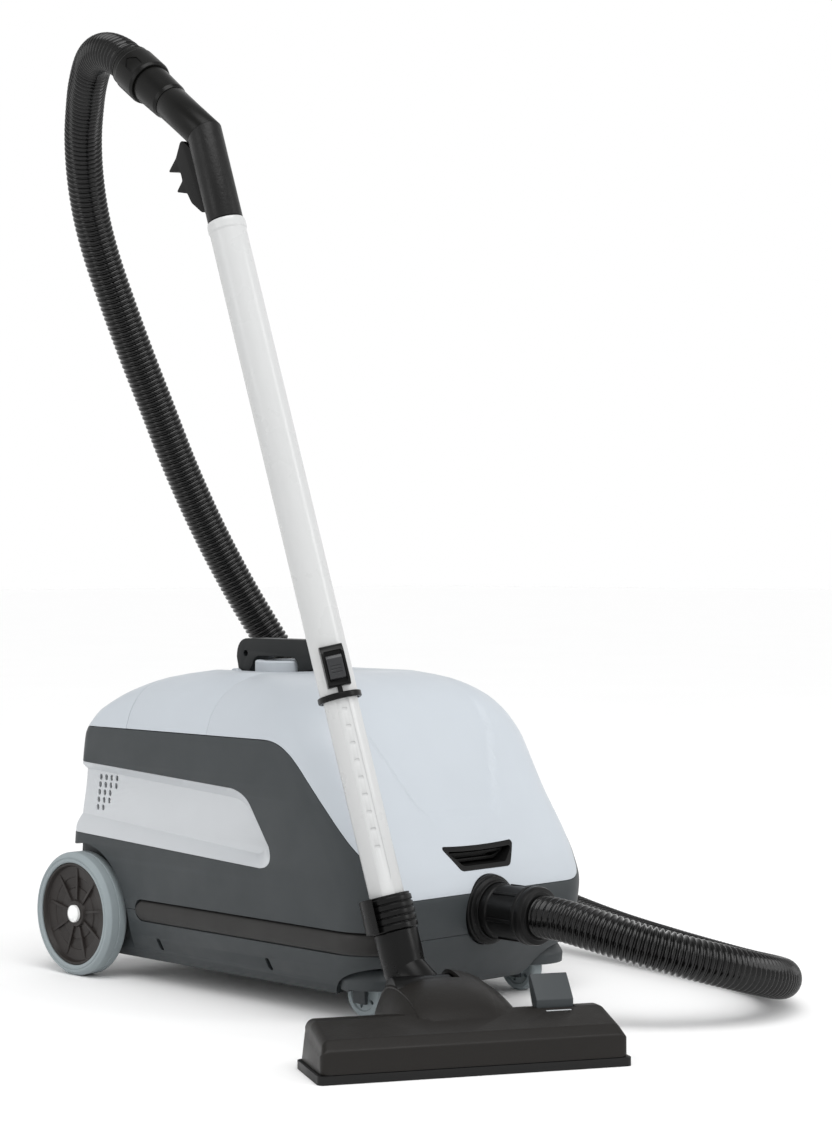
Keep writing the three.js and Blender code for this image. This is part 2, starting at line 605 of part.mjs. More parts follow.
const tilted = (manifold) => solid(geometryOf(manifold).applyQuaternion(arm.quaternion));
const elbow = (radius, from, to) => join(
  cylinder(radius, 'z', from, 0),
  solid(new THREE.SphereGeometry(radius, 20, 8)),
  tilted(cylinder(radius, 'z', 0, to)));
const gripSkin = join(
  cylinder(15.9, 'z', -122, -84),
  elbow(16.6, OUTER_TUBE.to + 1 - GRIP_BEND, 60),
  tilted(cylinder(14.4, 'z', 55, 92)));
place('grip', cut(gripSkin, elbow(12.6, -140, 100)), BLACK, grip);
place('grip_sleeve', turned([
  [14.8, ARM.sleeve], [18, ARM.sleeve], [19, 66], [19.6, 96], [19.6, 100.4], [14.8, 100.4],
  [14.8, ARM.sleeve],
], 'z', [0, 0, 0], 22), BLACK, arm);
place('hose_cuff', turned([
  [15, ARM.cuff], [21.5, ARM.cuff], [22.8, 104], [22.8, 131], [21.6, 133], [21.6, ARM.end - 2],
  [20, ARM.end], [15, ARM.end], [15, ARM.cuff],
], 'z', [0, 0, 0], 22), BLACK, arm);
const hookOutline = polygon([
  [17.2, -72], [22, -69], [33, -56], [36, -46], [49, -38], [38, -32], [38.5, -22], [54, -16],
  [44, 2], [30, 5], [17.2, -9],
]);
place('hook_clip', cut(prism(hookOutline, 'x', -7, 7),
  tilted(cylinder(17, 'z', -30, 80))), BLACK, grip);

// ---------- nozzle ----------
// Nozzle coordinates: X along its width, Y towards the canister from the drum, Z up from the floor.
const FRONT = -NOZZLE.pivotY;
const barEnd = (x, inset, lift) => {
  const taper = (z) => (z > 30 ? 5 : 2) * Math.sign(x);
  return [[0, 8], [2, 26], [12, 34], [50, 44], [66, 44], [73, 37], [74, 8]].map(([y, z]) => {
    const depth = Math.min(Math.max(y, inset), NOZZLE.depth - inset);
    const height = z > 8 ? z - lift : z - (lift ? 4 : 0);
    return new THREE.Vector3(x - taper(z) - Math.sign(x) * inset, FRONT + depth, height);
  });
};
const bar = (inset) => loft([
  barEnd(-NOZZLE.width / 2, inset, inset), barEnd(NOZZLE.width / 2, inset, inset)]);
const hoodRing = ([y, halfWidth, top], inset) => {
  const ring = [];
  for (let i = 0; i <= 14; i += 1) {
    const angle = (i / 14) * Math.PI;
    const [c, s] = [Math.cos(angle), Math.sin(angle)];
    ring.push(new THREE.Vector3(
      Math.sign(c) * Math.abs(c) ** 0.7 * (halfWidth - inset), y,
      8 + (top - 8 - inset) * s ** 0.7));
  }
  const bottom = inset ? 2 : 8;
  ring.push(new THREE.Vector3(-(halfWidth - inset), y, bottom));
  ring.push(new THREE.Vector3(halfWidth - inset, y, bottom));
  return ring;
};
const HOOD = [
  [FRONT + 26, 52, 36], [FRONT + 50, 62, 52], [FRONT + 80, 63, 63], [0, 58, 68], [22, 50, 64],
  [32, 44, 56],
];
const hood = (inset) => loft(HOOD.map((level, i) => {
  const shift = (i === 0 ? inset : 0) - (i === HOOD.length - 1 ? inset : 0);
  return hoodRing([level[0] + shift, level[1], level[2]], inset);
}));
const DRUM_RADIUS = 21.5;
const neckSlot = join(
  box(-42, 14, -26, 60, 24, 120),
  cylinder(DRUM_RADIUS + 0.8, 'x', -33, 33, [0, 0, PIVOT.z], 28));
const pedalSlot = box(70, 106, FRONT + 50, FRONT + 90, 30, 70);
const brushSlot = (margin) =>
  box(-112 - margin, 112 + margin, FRONT + 6 - margin, FRONT + 11 + margin, -5, 30);
place('nozzle_cover', cut(join(bar(0), hood(0)), bar(2.6), hood(2.6), neckSlot, pedalSlot),
  NOZZLE_BLACK, nozzle);

const soleOutline = new THREE.Shape();
const HALF = NOZZLE.width / 2 + 1;
soleOutline.moveTo(-HALF, FRONT - 1);
soleOutline.lineTo(HALF, FRONT - 1);
soleOutline.lineTo(HALF, FRONT + NOZZLE.depth + 1);
soleOutline.lineTo(64, FRONT + NOZZLE.depth + 1);
soleOutline.lineTo(52, 24);
soleOutline.quadraticCurveTo(50, 33, 40, 33);
soleOutline.lineTo(-40, 33);
soleOutline.quadraticCurveTo(-50, 33, -52, 24);
soleOutline.lineTo(-64, FRONT + NOZZLE.depth + 1);
soleOutline.lineTo(-HALF, FRONT + NOZZLE.depth + 1);
const rollerAt = (side) => [side * 34, 14, 9];
place('sole_plate', cut(
  prism(soleOutline, 'z', 0, NOZZLE.sole),
  brushSlot(0.6),
  roundedBox(-118, 118, FRONT + 16, FRONT + 30, -5, 20, 6),
  ...[-1, 1].map((side) => box(side * 34 - 9, side * 34 + 9, 3, 25, -5, 20))), BLACK, nozzle);
place('brush_strip', brushSlot(0).intersect(box(-200, 200, -200, 0, 3.6, 18)), RUBBER, nozzle);
for (const side of [-1, 1]) {
  place(`roller_${side < 0 ? 'left' : 'right'}`,
    cylinder(9, 'x', -8, 8, [0, 0, 0], 20), BLACK, nozzle, rollerAt(side));
}

const pedal = new THREE.Shape();
pedal.moveTo(FRONT + 54, 38);
pedal.lineTo(FRONT + 60, 36);
pedal.quadraticCurveTo(FRONT + 70, 46, FRONT + 76, 66);
pedal.lineTo(FRONT + 72, 70);
pedal.quadraticCurveTo(FRONT + 62, 60, FRONT + 54, 50);
place('foot_pedal', prism(pedal, 'x', 71, 105, 5), BLACK, nozzle);

// The neck: a drum that rolls in the hood, and the pipe that carries the wand.
const neck = new THREE.Group();
neck.position.copy(PIVOT);
vacuum.add(neck);
const onWand = (manifold) => solid(geometryOf(manifold)
  .applyQuaternion(wand.quaternion).translate(...wandStart.toArray()));
const neckBend = wandStart.clone().addScaledVector(WAND_LINE, NECK_BEND);
const stubTurn = new THREE.Quaternion().setFromUnitVectors(UP, neckBend.clone().normalize());
const stub = solid(geometryOf(cylinder(18, 'z', 0, neckBend.length())).applyQuaternion(stubTurn));
const drum = solid(geometryOf(cylinder(DRUM_RADIUS, 'x', -24, 24)).rotateZ(NOZZLE_YAW));
const knuckle = new THREE.SphereGeometry(19.5, 16, 8).translate(...neckBend.toArray());
place('nozzle_neck', cut(
  join(drum, stub, solid(knuckle), onWand(cylinder(20, 'z', NECK_BEND, CUFF.from - GAP))),
  onWand(cylinder(16.4, 'z', 62, 90)), onWand(cylinder(14, 'z', 40, 70))), BLACK, neck);

// ---------- hose ----------
// Middle line of the hose: out of the canister's inlet, round in front of it and along its right
// side on the floor, up behind it, and over to the grip.
vacuum.updateMatrixWorld(true);
const beyondArm = (distance) => arm.localToWorld(new THREE.Vector3(0, 0, ARM.end + distance));
const HOSE_ROUTE = [
  [0, INLET.end - GAP, INLET.z], [0, -314, 96.5], [9, -354, 89], [28, -392, 78], [64, -424, 65],
  [108, -442, 52], [155, -441, 40], [199, -420, 31], [235, -383, 25], [260, -333, 22],
  [278, -272, 23], [293, -200, 27], [305, -122, 34], [311, -42, 47], [309, 38, 68],
  [297, 112, 100], [273, 178, 146], [242, 230, 205], [208, 267, 270], [170, 290, 338],
  [130, 302, 402], [89, 307, 468], [49, 307, 536], [11, 303, 604], [-24, 298, 665],
  [-54, 292, 718], [-79, 285, 762], [-101, 274, 801], [-122, 257, 840], [-142, 234, 876],
  [-160, 207, 903], [-177, 179, 922], [-191, 150, 938], [-202, 122, 941], [-208, 98, 937],
].map((point) => new THREE.Vector3(...point));
HOSE_ROUTE.push(beyondArm(12), beyondArm(GAP));
const HOSE_SPLIT = 1480;                // length of the lower run, up to where the upper one starts

class Stretch extends THREE.Curve {
  constructor(curve, from, to) {
    super();
    Object.assign(this, { curve, from, to });
  }

  getPoint(t, target) {
    return this.curve.getPointAt(THREE.MathUtils.lerp(this.from, this.to, t), target);
  }
}

const hoseLine = new THREE.CatmullRomCurve3(HOSE_ROUTE, false, 'centripetal');
hoseLine.arcLengthDivisions = 2000;
const HOSE_LENGTH = hoseLine.getLength();

function hoseRun(name, from, to, steps) {
  const section = new THREE.Shape();
  section.absarc(0, 0, HOSE_RADIUS, 0, Math.PI * 2);
  const geometry = new THREE.ExtrudeGeometry(section, {
    steps, curveSegments: 5, extrudePath: new Stretch(hoseLine, from, to),
  });
  place(name, solid(geometry), HOSE_BLACK, hose);
}

hoseRun('hose_lower_run', 0, (HOSE_SPLIT - GAP) / HOSE_LENGTH, 30);
hoseRun('hose_upper_run', HOSE_SPLIT / HOSE_LENGTH, 1, 18);

// ---------- origin ----------
// The floor, under the middle of the canister, wand and nozzle taken together.
vacuum.updateMatrixWorld(true);
const extent = new THREE.Box3();
for (const group of [canister, wand, nozzle, neck]) extent.expandByObject(group);
const middle = extent.getCenter(new THREE.Vector3());
vacuum.position.set(-middle.x, -middle.y, -extent.min.z);

export default vacuum;
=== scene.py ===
"""Looks of a canister vacuum cleaner with its hose, telescopic wand and floor nozzle.

Lengths are millimetres in the piece's own frame, and every frame turns them into metres:
CANISTER (front towards -Y), WAND (Z up along the tubes), ARM (the grip's upper arm) and NOZZLE.
"""

import math

import bmesh
import bpy
from mathutils import Matrix, Vector


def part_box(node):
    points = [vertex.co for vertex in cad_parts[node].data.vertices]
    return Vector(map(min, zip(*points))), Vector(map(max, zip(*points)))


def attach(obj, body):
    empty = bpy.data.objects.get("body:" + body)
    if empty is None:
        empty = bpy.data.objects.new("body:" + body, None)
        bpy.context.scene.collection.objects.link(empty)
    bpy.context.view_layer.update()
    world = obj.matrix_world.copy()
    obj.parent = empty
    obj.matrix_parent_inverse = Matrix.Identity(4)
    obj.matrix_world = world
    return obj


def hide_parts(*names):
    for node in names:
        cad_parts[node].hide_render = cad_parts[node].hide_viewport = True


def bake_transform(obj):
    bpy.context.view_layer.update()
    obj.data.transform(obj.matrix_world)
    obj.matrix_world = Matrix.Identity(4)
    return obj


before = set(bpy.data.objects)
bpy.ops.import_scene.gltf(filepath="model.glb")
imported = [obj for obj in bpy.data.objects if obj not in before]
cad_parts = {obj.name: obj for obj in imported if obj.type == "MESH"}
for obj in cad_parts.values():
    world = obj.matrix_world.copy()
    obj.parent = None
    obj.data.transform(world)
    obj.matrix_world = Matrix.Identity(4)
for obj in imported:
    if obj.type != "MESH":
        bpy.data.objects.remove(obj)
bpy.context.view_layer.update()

# ---------------------------------------------------------------- frames
axle_low, axle_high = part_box("rear_axle")
AXLE_Y, AXLE_Z = 217, 64
ORIGIN = (axle_low + axle_high) / 2 - Vector((0, AXLE_Y, AXLE_Z)) / 1000
CANISTER = Matrix.Translation(ORIGIN) @ Matrix.Scale(0.001, 4)

UP = Vector((0, 0, 1))
SIDES = ((-1, "left"), (1, "right"))
PIVOT = Vector((-163, -313, 40))
WAND_LINE = Vector((-0.06, 0.291, 1)).normalized()
WAND_BEHIND = Vector((0, 30.5, 0))
WAND_START = WAND_BEHIND - WAND_LINE * WAND_BEHIND.dot(WAND_LINE)
WAND_TURN = UP.rotation_difference(WAND_LINE).to_matrix().to_4x4()
WAND = CANISTER @ Matrix.Translation(PIVOT + WAND_START) @ WAND_TURN

GRIP_BEND = 840
ARM_LINE = Vector((0, math.cos(0.623), math.sin(0.623)))
ARM_LOCAL = WAND_TURN.to_3x3().inverted() @ ARM_LINE
ARM_TURN = UP.rotation_difference(ARM_LOCAL).to_matrix().to_4x4()
GRIP = WAND @ Matrix.Translation((0, 0, GRIP_BEND))
ARM = GRIP @ ARM_TURN
ARM_END = 142

NOZZLE_YAW = -0.4852
NOZZLE = (CANISTER @ Matrix.Translation((PIVOT.x, PIVOT.y, 0))
          @ Matrix.Rotation(NOZZLE_YAW, 4, "Z"))


# ---------------------------------------------------------------- outlines
def filleted(corners, steps=6):
    """A closed outline through (a, b, radius) corners, each rounded by an arc."""
    points = []
    for i, corner in enumerate(corners):
        here = Vector(corner[:2])
        radius = corner[2] if len(corner) > 2 else 0
        before = Vector(corners[i - 1][:2])
        after = Vector(corners[(i + 1) % len(corners)][:2])
        u, v = (before - here).normalized(), (after - here).normalized()
        angle = u.angle(v, 0)
        if radius <= 0 or angle < 0.05 or angle > math.pi - 0.02:
            points.append(tuple(here))
            continue
        reach = radius / math.tan(angle / 2)
        limit = 0.49 * min((before - here).length, (after - here).length)
        reach = min(reach, limit)
        radius = reach * math.tan(angle / 2)
        centre = here + (u + v).normalized() * (radius / math.sin(angle / 2))
        start = here + u * reach - centre
        end = here + v * reach - centre
        sweep = start.angle_signed(end)
        for k in range(steps + 1):
            turn = Matrix.Rotation(-sweep * k / steps, 2)
            points.append(tuple(centre + turn @ start))
    return points


def curve_through(start, *stretches, steps=14):
    """Points of an outline: each stretch is 1 point (a line), 2 (quadratic) or 3 (cubic Bezier)."""
    points = [Vector(start)]
    for stretch in stretches:
        p0 = points[-1]
        ends = [Vector(p) for p in stretch]
        if len(ends) == 1:
            points.append(ends[0])
            continue
        for k in range(1, steps + 1):
            t = k / steps
            chain = [p0, *ends]
            while len(chain) > 1:
                chain = [a.lerp(b, t) for a, b in zip(chain, chain[1:])]
            points.append(chain[0])
    return [tuple(p) for p in points]


def spaced(points, count, closed=True):
    """The outline again, as count points the same distance apart."""
    ring = [Vector(p) for p in points]
    if closed:
        ring.append(ring[0])
    lengths = [0.0]
    for a, b in zip(ring, ring[1:]):
        lengths.append(lengths[-1] + (b - a).length)
    total, found, k = lengths[-1], [], 0
    for i in range(count):
        wanted = total * i / (count if closed else count - 1)
        while k < len(lengths) - 2 and lengths[k + 1] < wanted:
            k += 1
        span = lengths[k + 1] - lengths[k]
        share = (wanted - lengths[k]) / span if span else 0
        found.append(ring[k].lerp(ring[k + 1], share))
    return found


def round_rectangle(a0, a1, b0, b1, radius, steps=6):
    return filleted([(a0, b0, radius), (a1, b0, radius), (a1, b1, radius), (a0, b1, radius)], steps)


# ---------------------------------------------------------------- meshes
def mesh_object(name, points, faces, place=CANISTER):
    mesh = bpy.data.meshes.new(name)
    mesh.from_pydata([place @ Vector(p) for p in points], [], faces)
    made = bmesh.new()
    made.from_mesh(mesh)
    bmesh.ops.remove_doubles(made, verts=made.verts, dist=1e-6)
    bmesh.ops.dissolve_degenerate(made, edges=made.edges, dist=1e-6)
    bmesh.ops.recalc_face_normals(made, faces=made.faces)
    made.to_mesh(mesh)
    made.free()
    made = bpy.data.objects.new(name, mesh)
    bpy.context.scene.collection.objects.link(made)
    return made


AXES = {"x": lambda a, b, c: (c, a, b), "y": lambda a, b, c: (a, c, b), "z": lambda a, b, c: (a, b, c)}


def prism(outline, axis, start, end, place=CANISTER, name="tool"):
    """An outline pushed straight along an axis: (y, z) along X, (x, z) along Y, (x, y) along Z."""
    count, at = len(outline), AXES[axis]
    points = [at(a, b, c) for c in (start, end) for a, b in outline]
    faces = [tuple(range(count)), tuple(range(2 * count - 1, count - 1, -1))]
    faces += [(i, (i + 1) % count, count + (i + 1) % count, count + i) for i in range(count)]
    return mesh_object(name, points, faces, place)


def box(x0, x1, y0, y1, z0, z1, place=CANISTER):
    return prism([(x0, y0), (x1, y0), (x1, y1), (x0, y1)], "z", z0, z1, place)


def lathe(name, profile, axis="z", centre=(0, 0, 0), place=CANISTER, segments=96, closed=True):
    """A profile of (radius, along) turned about an axis. A closed profile joins back to its start."""
    at, points, faces = AXES[axis], [], []
    count = len(profile)
    for k in range(segments):
        angle = 2 * math.pi * k / segments
        for radius, along in profile:
            a, b = radius * math.cos(angle), radius * math.sin(angle)
            points.append(Vector(at(a, b, along)) + Vector(centre))
    for k in range(segments):
        near, far = k * count, (k + 1) % segments * count
        for i in range(count if closed else count - 1):
            j = (i + 1) % count
            faces.append((near + i, near + j, far + j, far + i))
    return mesh_object(name, points, faces, place)


def loft(name, rings, place=CANISTER, caps=True):
    """A closed skin over rings that all have the same number of points."""
    count = len(rings[0])
    points = [p for ring in rings for p in ring]
    faces = []
    for level in range(len(rings) - 1):
        for i in range(count):
            a, b = level * count + i, level * count + (i + 1) % count
            faces.append((a, b, b + count, a + count))
    if caps:
        faces.append(tuple(range(count))[::-1])
        faces.append(tuple(range((len(rings) - 1) * count, len(rings) * count)))
    return mesh_object(name, points, faces, place)


def evaluated(piece):
    """Applies the piece's modifiers."""
    graph = bpy.context.evaluated_depsgraph_get()
    mesh = bpy.data.meshes.new_from_object(piece.evaluated_get(graph))
    piece.modifiers.clear()
    piece.data = mesh
    return piece


def combine(piece, operation, *tools):
    for tool in tools:
        boolean = piece.modifiers.new("boolean", "BOOLEAN")
        boolean.operation = operation
        boolean.solver = "EXACT"
        boolean.object = tool
        evaluated(piece)
        bpy.data.objects.remove(tool)
    return piece


def cut(piece, *tools):
    return combine(piece, "DIFFERENCE", *tools)


def keep(piece, *tools):
    return combine(piece, "INTERSECT", *tools)


def join(piece, *tools):
    return combine(piece, "UNION", *tools)


def together(pieces):
    """Closed pieces that stay apart, as one tool."""
    mesh, made = bpy.data.meshes.new("tool"), bmesh.new()
    for piece in pieces:
        made.from_mesh(piece.data)
        bpy.data.objects.remove(piece)
    made.to_mesh(mesh)
    made.free()
    made = bpy.data.objects.new("tool", mesh)
    bpy.context.scene.collection.objects.link(made)
    return made


def copy(piece, name="tool"):
    made = bpy.data.objects.new(name, piece.data.copy())
    bpy.context.scene.collection.objects.link(made)
    return made


def settle(piece, bevel=0.0, angle=32, segments=2, weld=0.03):
    """Rounds the sharp edges by a bevel in mm, and shades the rest smooth."""
    made = bmesh.new()
    made.from_mesh(piece.data)
    bmesh.ops.remove_doubles(made, verts=made.verts, dist=weld / 1000)
    bmesh.ops.dissolve_degenerate(made, edges=made.edges, dist=1e-6)
    bmesh.ops.recalc_face_normals(made, faces=made.faces)
    made.to_mesh(piece.data)
    made.free()
    if bevel:
        rounding = piece.modifiers.new("bevel", "BEVEL")
        rounding.width = bevel / 1000
        rounding.segments = segments
        rounding.limit_method = "ANGLE"
        rounding.angle_limit = math.radians(angle)
        rounding.use_clamp_overlap = True
        rounding.harden_normals = False
        evaluated(piece)
    piece.data.shade_smooth()
    piece.data.set_sharp_from_angle(angle=math.radians(angle))
    return piece


def dress(piece, name, body, material, *nodes, slot=None):
    """Names the piece, gives it its material, and puts it on its body in place of the CAD nodes.

    The slot argument is not used.
    """
    piece.name = name
    piece.data.materials.clear()
    piece.data.materials.append(material)
    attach(piece, body)
    if nodes:
        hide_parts(*nodes)
    return piece


# ---------------------------------------------------------------- materials
def linear(*levels):
    """An 8-bit sRGB colour as scene-linear numbers."""
    return tuple(((c / 255 + 0.055) / 1.055) ** 2.4 for c in levels)


class Paint:
    """A Principled material whose nodes are added one by one, in object coordinates (metres)."""

    def __init__(self, name, roughness=0.5, metallic=0.0, coat=0.0, sheen=0.0):
        self.material = bpy.data.materials.new(name)
        self.material.use_nodes = True
        self.tree = self.material.node_tree
        self.shader = self.tree.nodes["Principled BSDF"]
        self.shader.inputs["Roughness"].default_value = roughness
        self.shader.inputs["Metallic"].default_value = metallic
        self.shader.inputs["Coat Weight"].default_value = coat
        self.shader.inputs["Sheen Weight"].default_value = sheen
        self.where = self.tree.nodes.new("ShaderNodeTexCoord").outputs["Object"]

    def node(self, kind, **settings):
        made = self.tree.nodes.new(kind)
        for key, value in settings.items():
            setattr(made, key, value)
        return made

    def link(self, start, end):
        self.tree.links.new(start, end)

    def noise(self, scale, detail=3.0, roughness=0.55, stretch=None):
        made = self.node("ShaderNodeTexNoise")
        made.inputs["Scale"].default_value = scale
        made.inputs["Detail"].default_value = detail
        made.inputs["Roughness"].default_value = roughness
        source = self.where
        if stretch:
            mapping = self.node("ShaderNodeMapping")
            mapping.inputs["Scale"].default_value = stretch
            self.link(source, mapping.inputs["Vector"])
            source = mapping.outputs["Vector"]
        self.link(source, made.inputs["Vector"])
        return made.outputs["Fac"]

    def between(self, value, low, high, to_low, to_high):
        made = self.node("ShaderNodeMapRange")
        for key, number in zip(("From Min", "From Max", "To Min", "To Max"), (low, high, to_low, to_high)):
            made.inputs[key].default_value = number
        self.link(value, made.inputs["Value"])
        return made.outputs["Result"]

    def mix(self, amount, first, second):
        made = self.node("ShaderNodeMix", data_type="RGBA")
        colours = [s for s in made.inputs if s.type == "RGBA"]
        self.link(amount, made.inputs["Factor"])
        for socket, colour in zip(colours, (first, second)):
            if isinstance(colour, tuple):
                socket.default_value = (*colour, 1)
            else:
                self.link(colour, socket)
        return next(s for s in made.outputs if s.type == "RGBA")

    def colour(self, source):
        self.link(source, self.shader.inputs["Base Color"])

    def rough(self, source):
        self.link(source, self.shader.inputs["Roughness"])

    def bump(self, height, strength, distance):
        made = self.node("ShaderNodeBump")
        made.inputs["Strength"].default_value = strength
        made.inputs["Distance"].default_value = distance / 1000
        self.link(height, made.inputs["Height"])
        normal = self.shader.inputs["Normal"]
        if normal.links:
            self.link(normal.links[0].from_socket, made.inputs["Normal"])
        self.link(made.outputs["Normal"], normal)


def shade(colour, amount):
    return tuple(min(1.0, c * amount) for c in colour)


def moulded(name, colour, roughness, grain=0.3, grain_size=0.8, variation=0.05, wear=0.12, coat=0.0,
            sheen=0.0, metallic=0.0, mottle=0.07, specular=0.3):
    """Moulded plastic or paint: a fine grain, slow drifts of tone and gloss, and paler worn edges."""
    paint = Paint(name, roughness, metallic, coat, sheen)
    paint.shader.inputs["Specular IOR Level"].default_value = specular
    drift = paint.between(paint.noise(9, 3), 0.3, 0.7, 0, 1)
    tone = paint.mix(drift, shade(colour, 1 - variation), shade(colour, 1 + variation))
    point = paint.node("ShaderNodeNewGeometry").outputs["Pointiness"]
    edge = paint.between(point, 0.515, 0.60, 0, wear)
    paint.colour(paint.mix(edge, tone, shade(colour, 1.7)))
    paint.rough(paint.between(paint.noise(28, 4), 0.3, 0.7, roughness - mottle, roughness + mottle))
    paint.bump(paint.noise(700 / grain_size, 2, 0.6), grain, 0.12 * grain_size)
    paint.bump(paint.noise(22, 2), 0.05, 0.6)
    return paint.material


def fibrous(name, colour, stretch, bump=0.6, roughness=0.95, variation=0.15, size=500):
    """Paper, felt or bristle: fine fibres drawn out along one direction."""
    paint = Paint(name, roughness, sheen=0.3)
    fibres = paint.noise(size, 5, 0.7, stretch)
    tone = paint.between(fibres, 0.3, 0.7, 0, 1)
    paint.colour(paint.mix(tone, shade(colour, 1 - variation), shade(colour, 1 + variation)))
    paint.bump(fibres, bump, 0.4)
    paint.bump(paint.noise(60, 3), 0.2, 1.0)
    return paint.material


def brushed(name, colour, roughness, stretch):
    paint = Paint(name, roughness, 1.0)
    lines = paint.noise(400, 3, 0.6, stretch)
    paint.colour(paint.mix(paint.between(lines, 0.3, 0.7, 0, 1), shade(colour, 0.88), colour))
    paint.rough(paint.between(lines, 0.3, 0.7, roughness - 0.08, roughness + 0.12))
    paint.bump(lines, 0.15, 0.05)
    return paint.material


COVER = moulded("cover_grey", linear(178, 184, 190), 0.42, 0.2, 0.9, 0.02, 0.06, specular=0.4)
BODY = moulded("body_dark", linear(54, 58, 60), 0.5, 0.3, 0.9, 0.05, 0.10)
SILVER = moulded("panel_silver", linear(192, 195, 198), 0.36, 0.2, 0.8, 0.02, 0.08, metallic=0.2)
HANDLE = moulded("handle_dark", linear(34, 36, 37), 0.45, 0.3, 0.9, 0.05, 0.10, specular=0.2)
TRIM = moulded("trim_black", linear(15, 15, 15), 0.36, 0.2, 0.8, 0.06, 0.10, specular=0.16)
BUMPER = moulded("bumper_rubber", linear(34, 33, 32), 0.46, 0.25, 1.0, 0.06, 0.05, sheen=0.03)
TYRE = moulded("tyre_grey", linear(138, 147, 150), 0.7, 0.4, 1.2, 0.04, 0.05, sheen=0.05)
DISC = moulded("disc_brown", linear(36, 32, 30), 0.48, 0.5, 1.0, 0.06, 0.14)
CAP = moulded("cap_white", linear(238, 239, 238), 0.22, 0.03, 1.0, 0.01, 0.02, coat=0.3)
STEEL = brushed("steel", linear(188, 190, 194), 0.3, (1, 12, 12))
MOTOR = brushed("motor_metal", linear(168, 170, 172), 0.42, (12, 1, 12))
TUBE = moulded("tube_white", linear(188, 189, 189), 0.3, 0.06, 1.4, 0.012, 0.03, coat=0.25)
WAND_BLACK = moulded("wand_black", linear(12, 12, 12), 0.3, 0.12, 0.8, 0.07, 0.10, specular=0.16)
SLIDER = moulded("slider_grey", linear(38, 39, 41), 0.3, 0.12, 0.8, 0.05, 0.10, coat=0.2)
GRIP_BLACK = moulded("grip_black", linear(12, 12, 11), 0.32, 0.1, 0.8, 0.06, 0.08, specular=0.16)
GRIP_GRAIN = moulded("grip_grained", linear(13, 13, 13), 0.42, 1.0, 2.8, 0.10, 0.10, specular=0.25)
NOZZLE_GRAIN = moulded("nozzle_black", linear(26, 24, 22), 0.42, 0.7, 1.5, 0.07, 0.12, specular=0.2)
SOLE = moulded("sole_black", linear(16, 16, 16), 0.5, 0.25, 1.0, 0.06, 0.08, specular=0.25)
HOSE = moulded("hose_black", linear(6, 6, 6), 0.2, 0.03, 1.0, 0.10, 0.02, coat=0.26, mottle=0.05,
               specular=0.2)
PAPER = fibrous("bag_paper", linear(205, 192, 165), (1, 1, 5))
FELT = fibrous("filter_white", linear(228, 228, 224), (1, 1, 1))
BRISTLE = fibrous("bristle", linear(30, 30, 30), (6, 6, 1), 1.0, 0.6)


# ---------------------------------------------------------------- camera and light
def look(location, heading, lens):
    camera = bpy.data.cameras.new("camera")
    camera.lens = lens
    camera.sensor_width = 36
    camera.clip_end = 60
    made = bpy.data.objects.new("camera", camera)
    made.location = location
    made.rotation_euler = (math.pi / 2, 0, -math.radians(heading))
    bpy.context.scene.collection.objects.link(made)
    bpy.context.scene.camera = made


def softbox(name, location, target, size, power):
    light = bpy.data.lights.new(name, "AREA")
    light.shape = "RECTANGLE"
    light.size, light.size_y = size
    light.energy = power
    made = bpy.data.objects.new(name, light)
    made.location = location
    made.rotation_euler = (Vector(target) - Vector(location)).to_track_quat("-Z", "Y").to_euler()
    bpy.context.scene.collection.objects.link(made)


def studio():
    """A pale floor under a bright sky, with a soft light above and one on each side."""
    world = bpy.data.worlds.new("studio")
    world.use_nodes = True
    nodes, links = world.node_tree.nodes, world.node_tree.links
    upward = nodes.new("ShaderNodeSeparateXYZ")
    links.new(nodes.new("ShaderNodeTexCoord").outputs["Generated"], upward.inputs["Vector"])
    strength = nodes.new("ShaderNodeMapRange")
    for key, number in (("From Min", 0.25), ("From Max", 0.8), ("To Min", 1.0), ("To Max", 0.5)):
        strength.inputs[key].default_value = number
    links.new(upward.outputs["Z"], strength.inputs["Value"])
    background = nodes["Background"]
    background.inputs["Color"].default_value = (1, 1, 1, 1)
    links.new(strength.outputs["Result"], background.inputs["Strength"])
    bpy.context.scene.world = world
    bpy.context.scene.view_settings.view_transform = "Standard"
    sun = bpy.data.lights.new("light_sky", "SUN")
    sun.energy = 1.5
    sun.angle = math.radians(50)
    above = bpy.data.objects.new("light_sky", sun)
    above.rotation_euler = (math.radians(28), math.radians(-14), 0)
    bpy.context.scene.collection.objects.link(above)
    softbox("light_top", (-0.6, -0.8, 2.6), (0.05, 0.1, 0.2), (1.6, 1.2), 10)
    softbox("light_left", (-2.4, 0.6, 1.4), (0, 0, 0.3), (0.7, 1.6), 8)
    softbox("light_right", (1.4, -2.4, 1.5), (0.05, -0.1, 0.3), (0.8, 1.6), 16)
    size = 30
    floor = mesh_object("floor", [(-size, -size, 0), (size, -size, 0), (size, size, 0), (-size, size, 0)],
                        [(0, 1, 2, 3)], Matrix.Identity(4))
    paint = Paint("floor", 0.9)
    paint.colour(paint.mix(paint.noise(2), (0.93, 0.93, 0.93), (0.95, 0.95, 0.95)))
    floor.data.materials.append(paint.material)


CAMERA_AT, CAMERA_HEADING, CAMERA_LENS = Vector((-1665.8, -1817.4, 430)), 44.5, 76.8
look(CAMERA_AT / 1000 + ORIGIN, CAMERA_HEADING, CAMERA_LENS)
studio()


# ---------------------------------------------------------------- hose
HOSE_RADIUS, HOSE_PITCH, HOSE_DEPTH = 19.9, 5.8, 3.2
HOSE_SPLIT = 1480
INLET_END, INLET_Z = -291, 97
GAP = 0.4
TO_CANISTER = CANISTER.inverted()


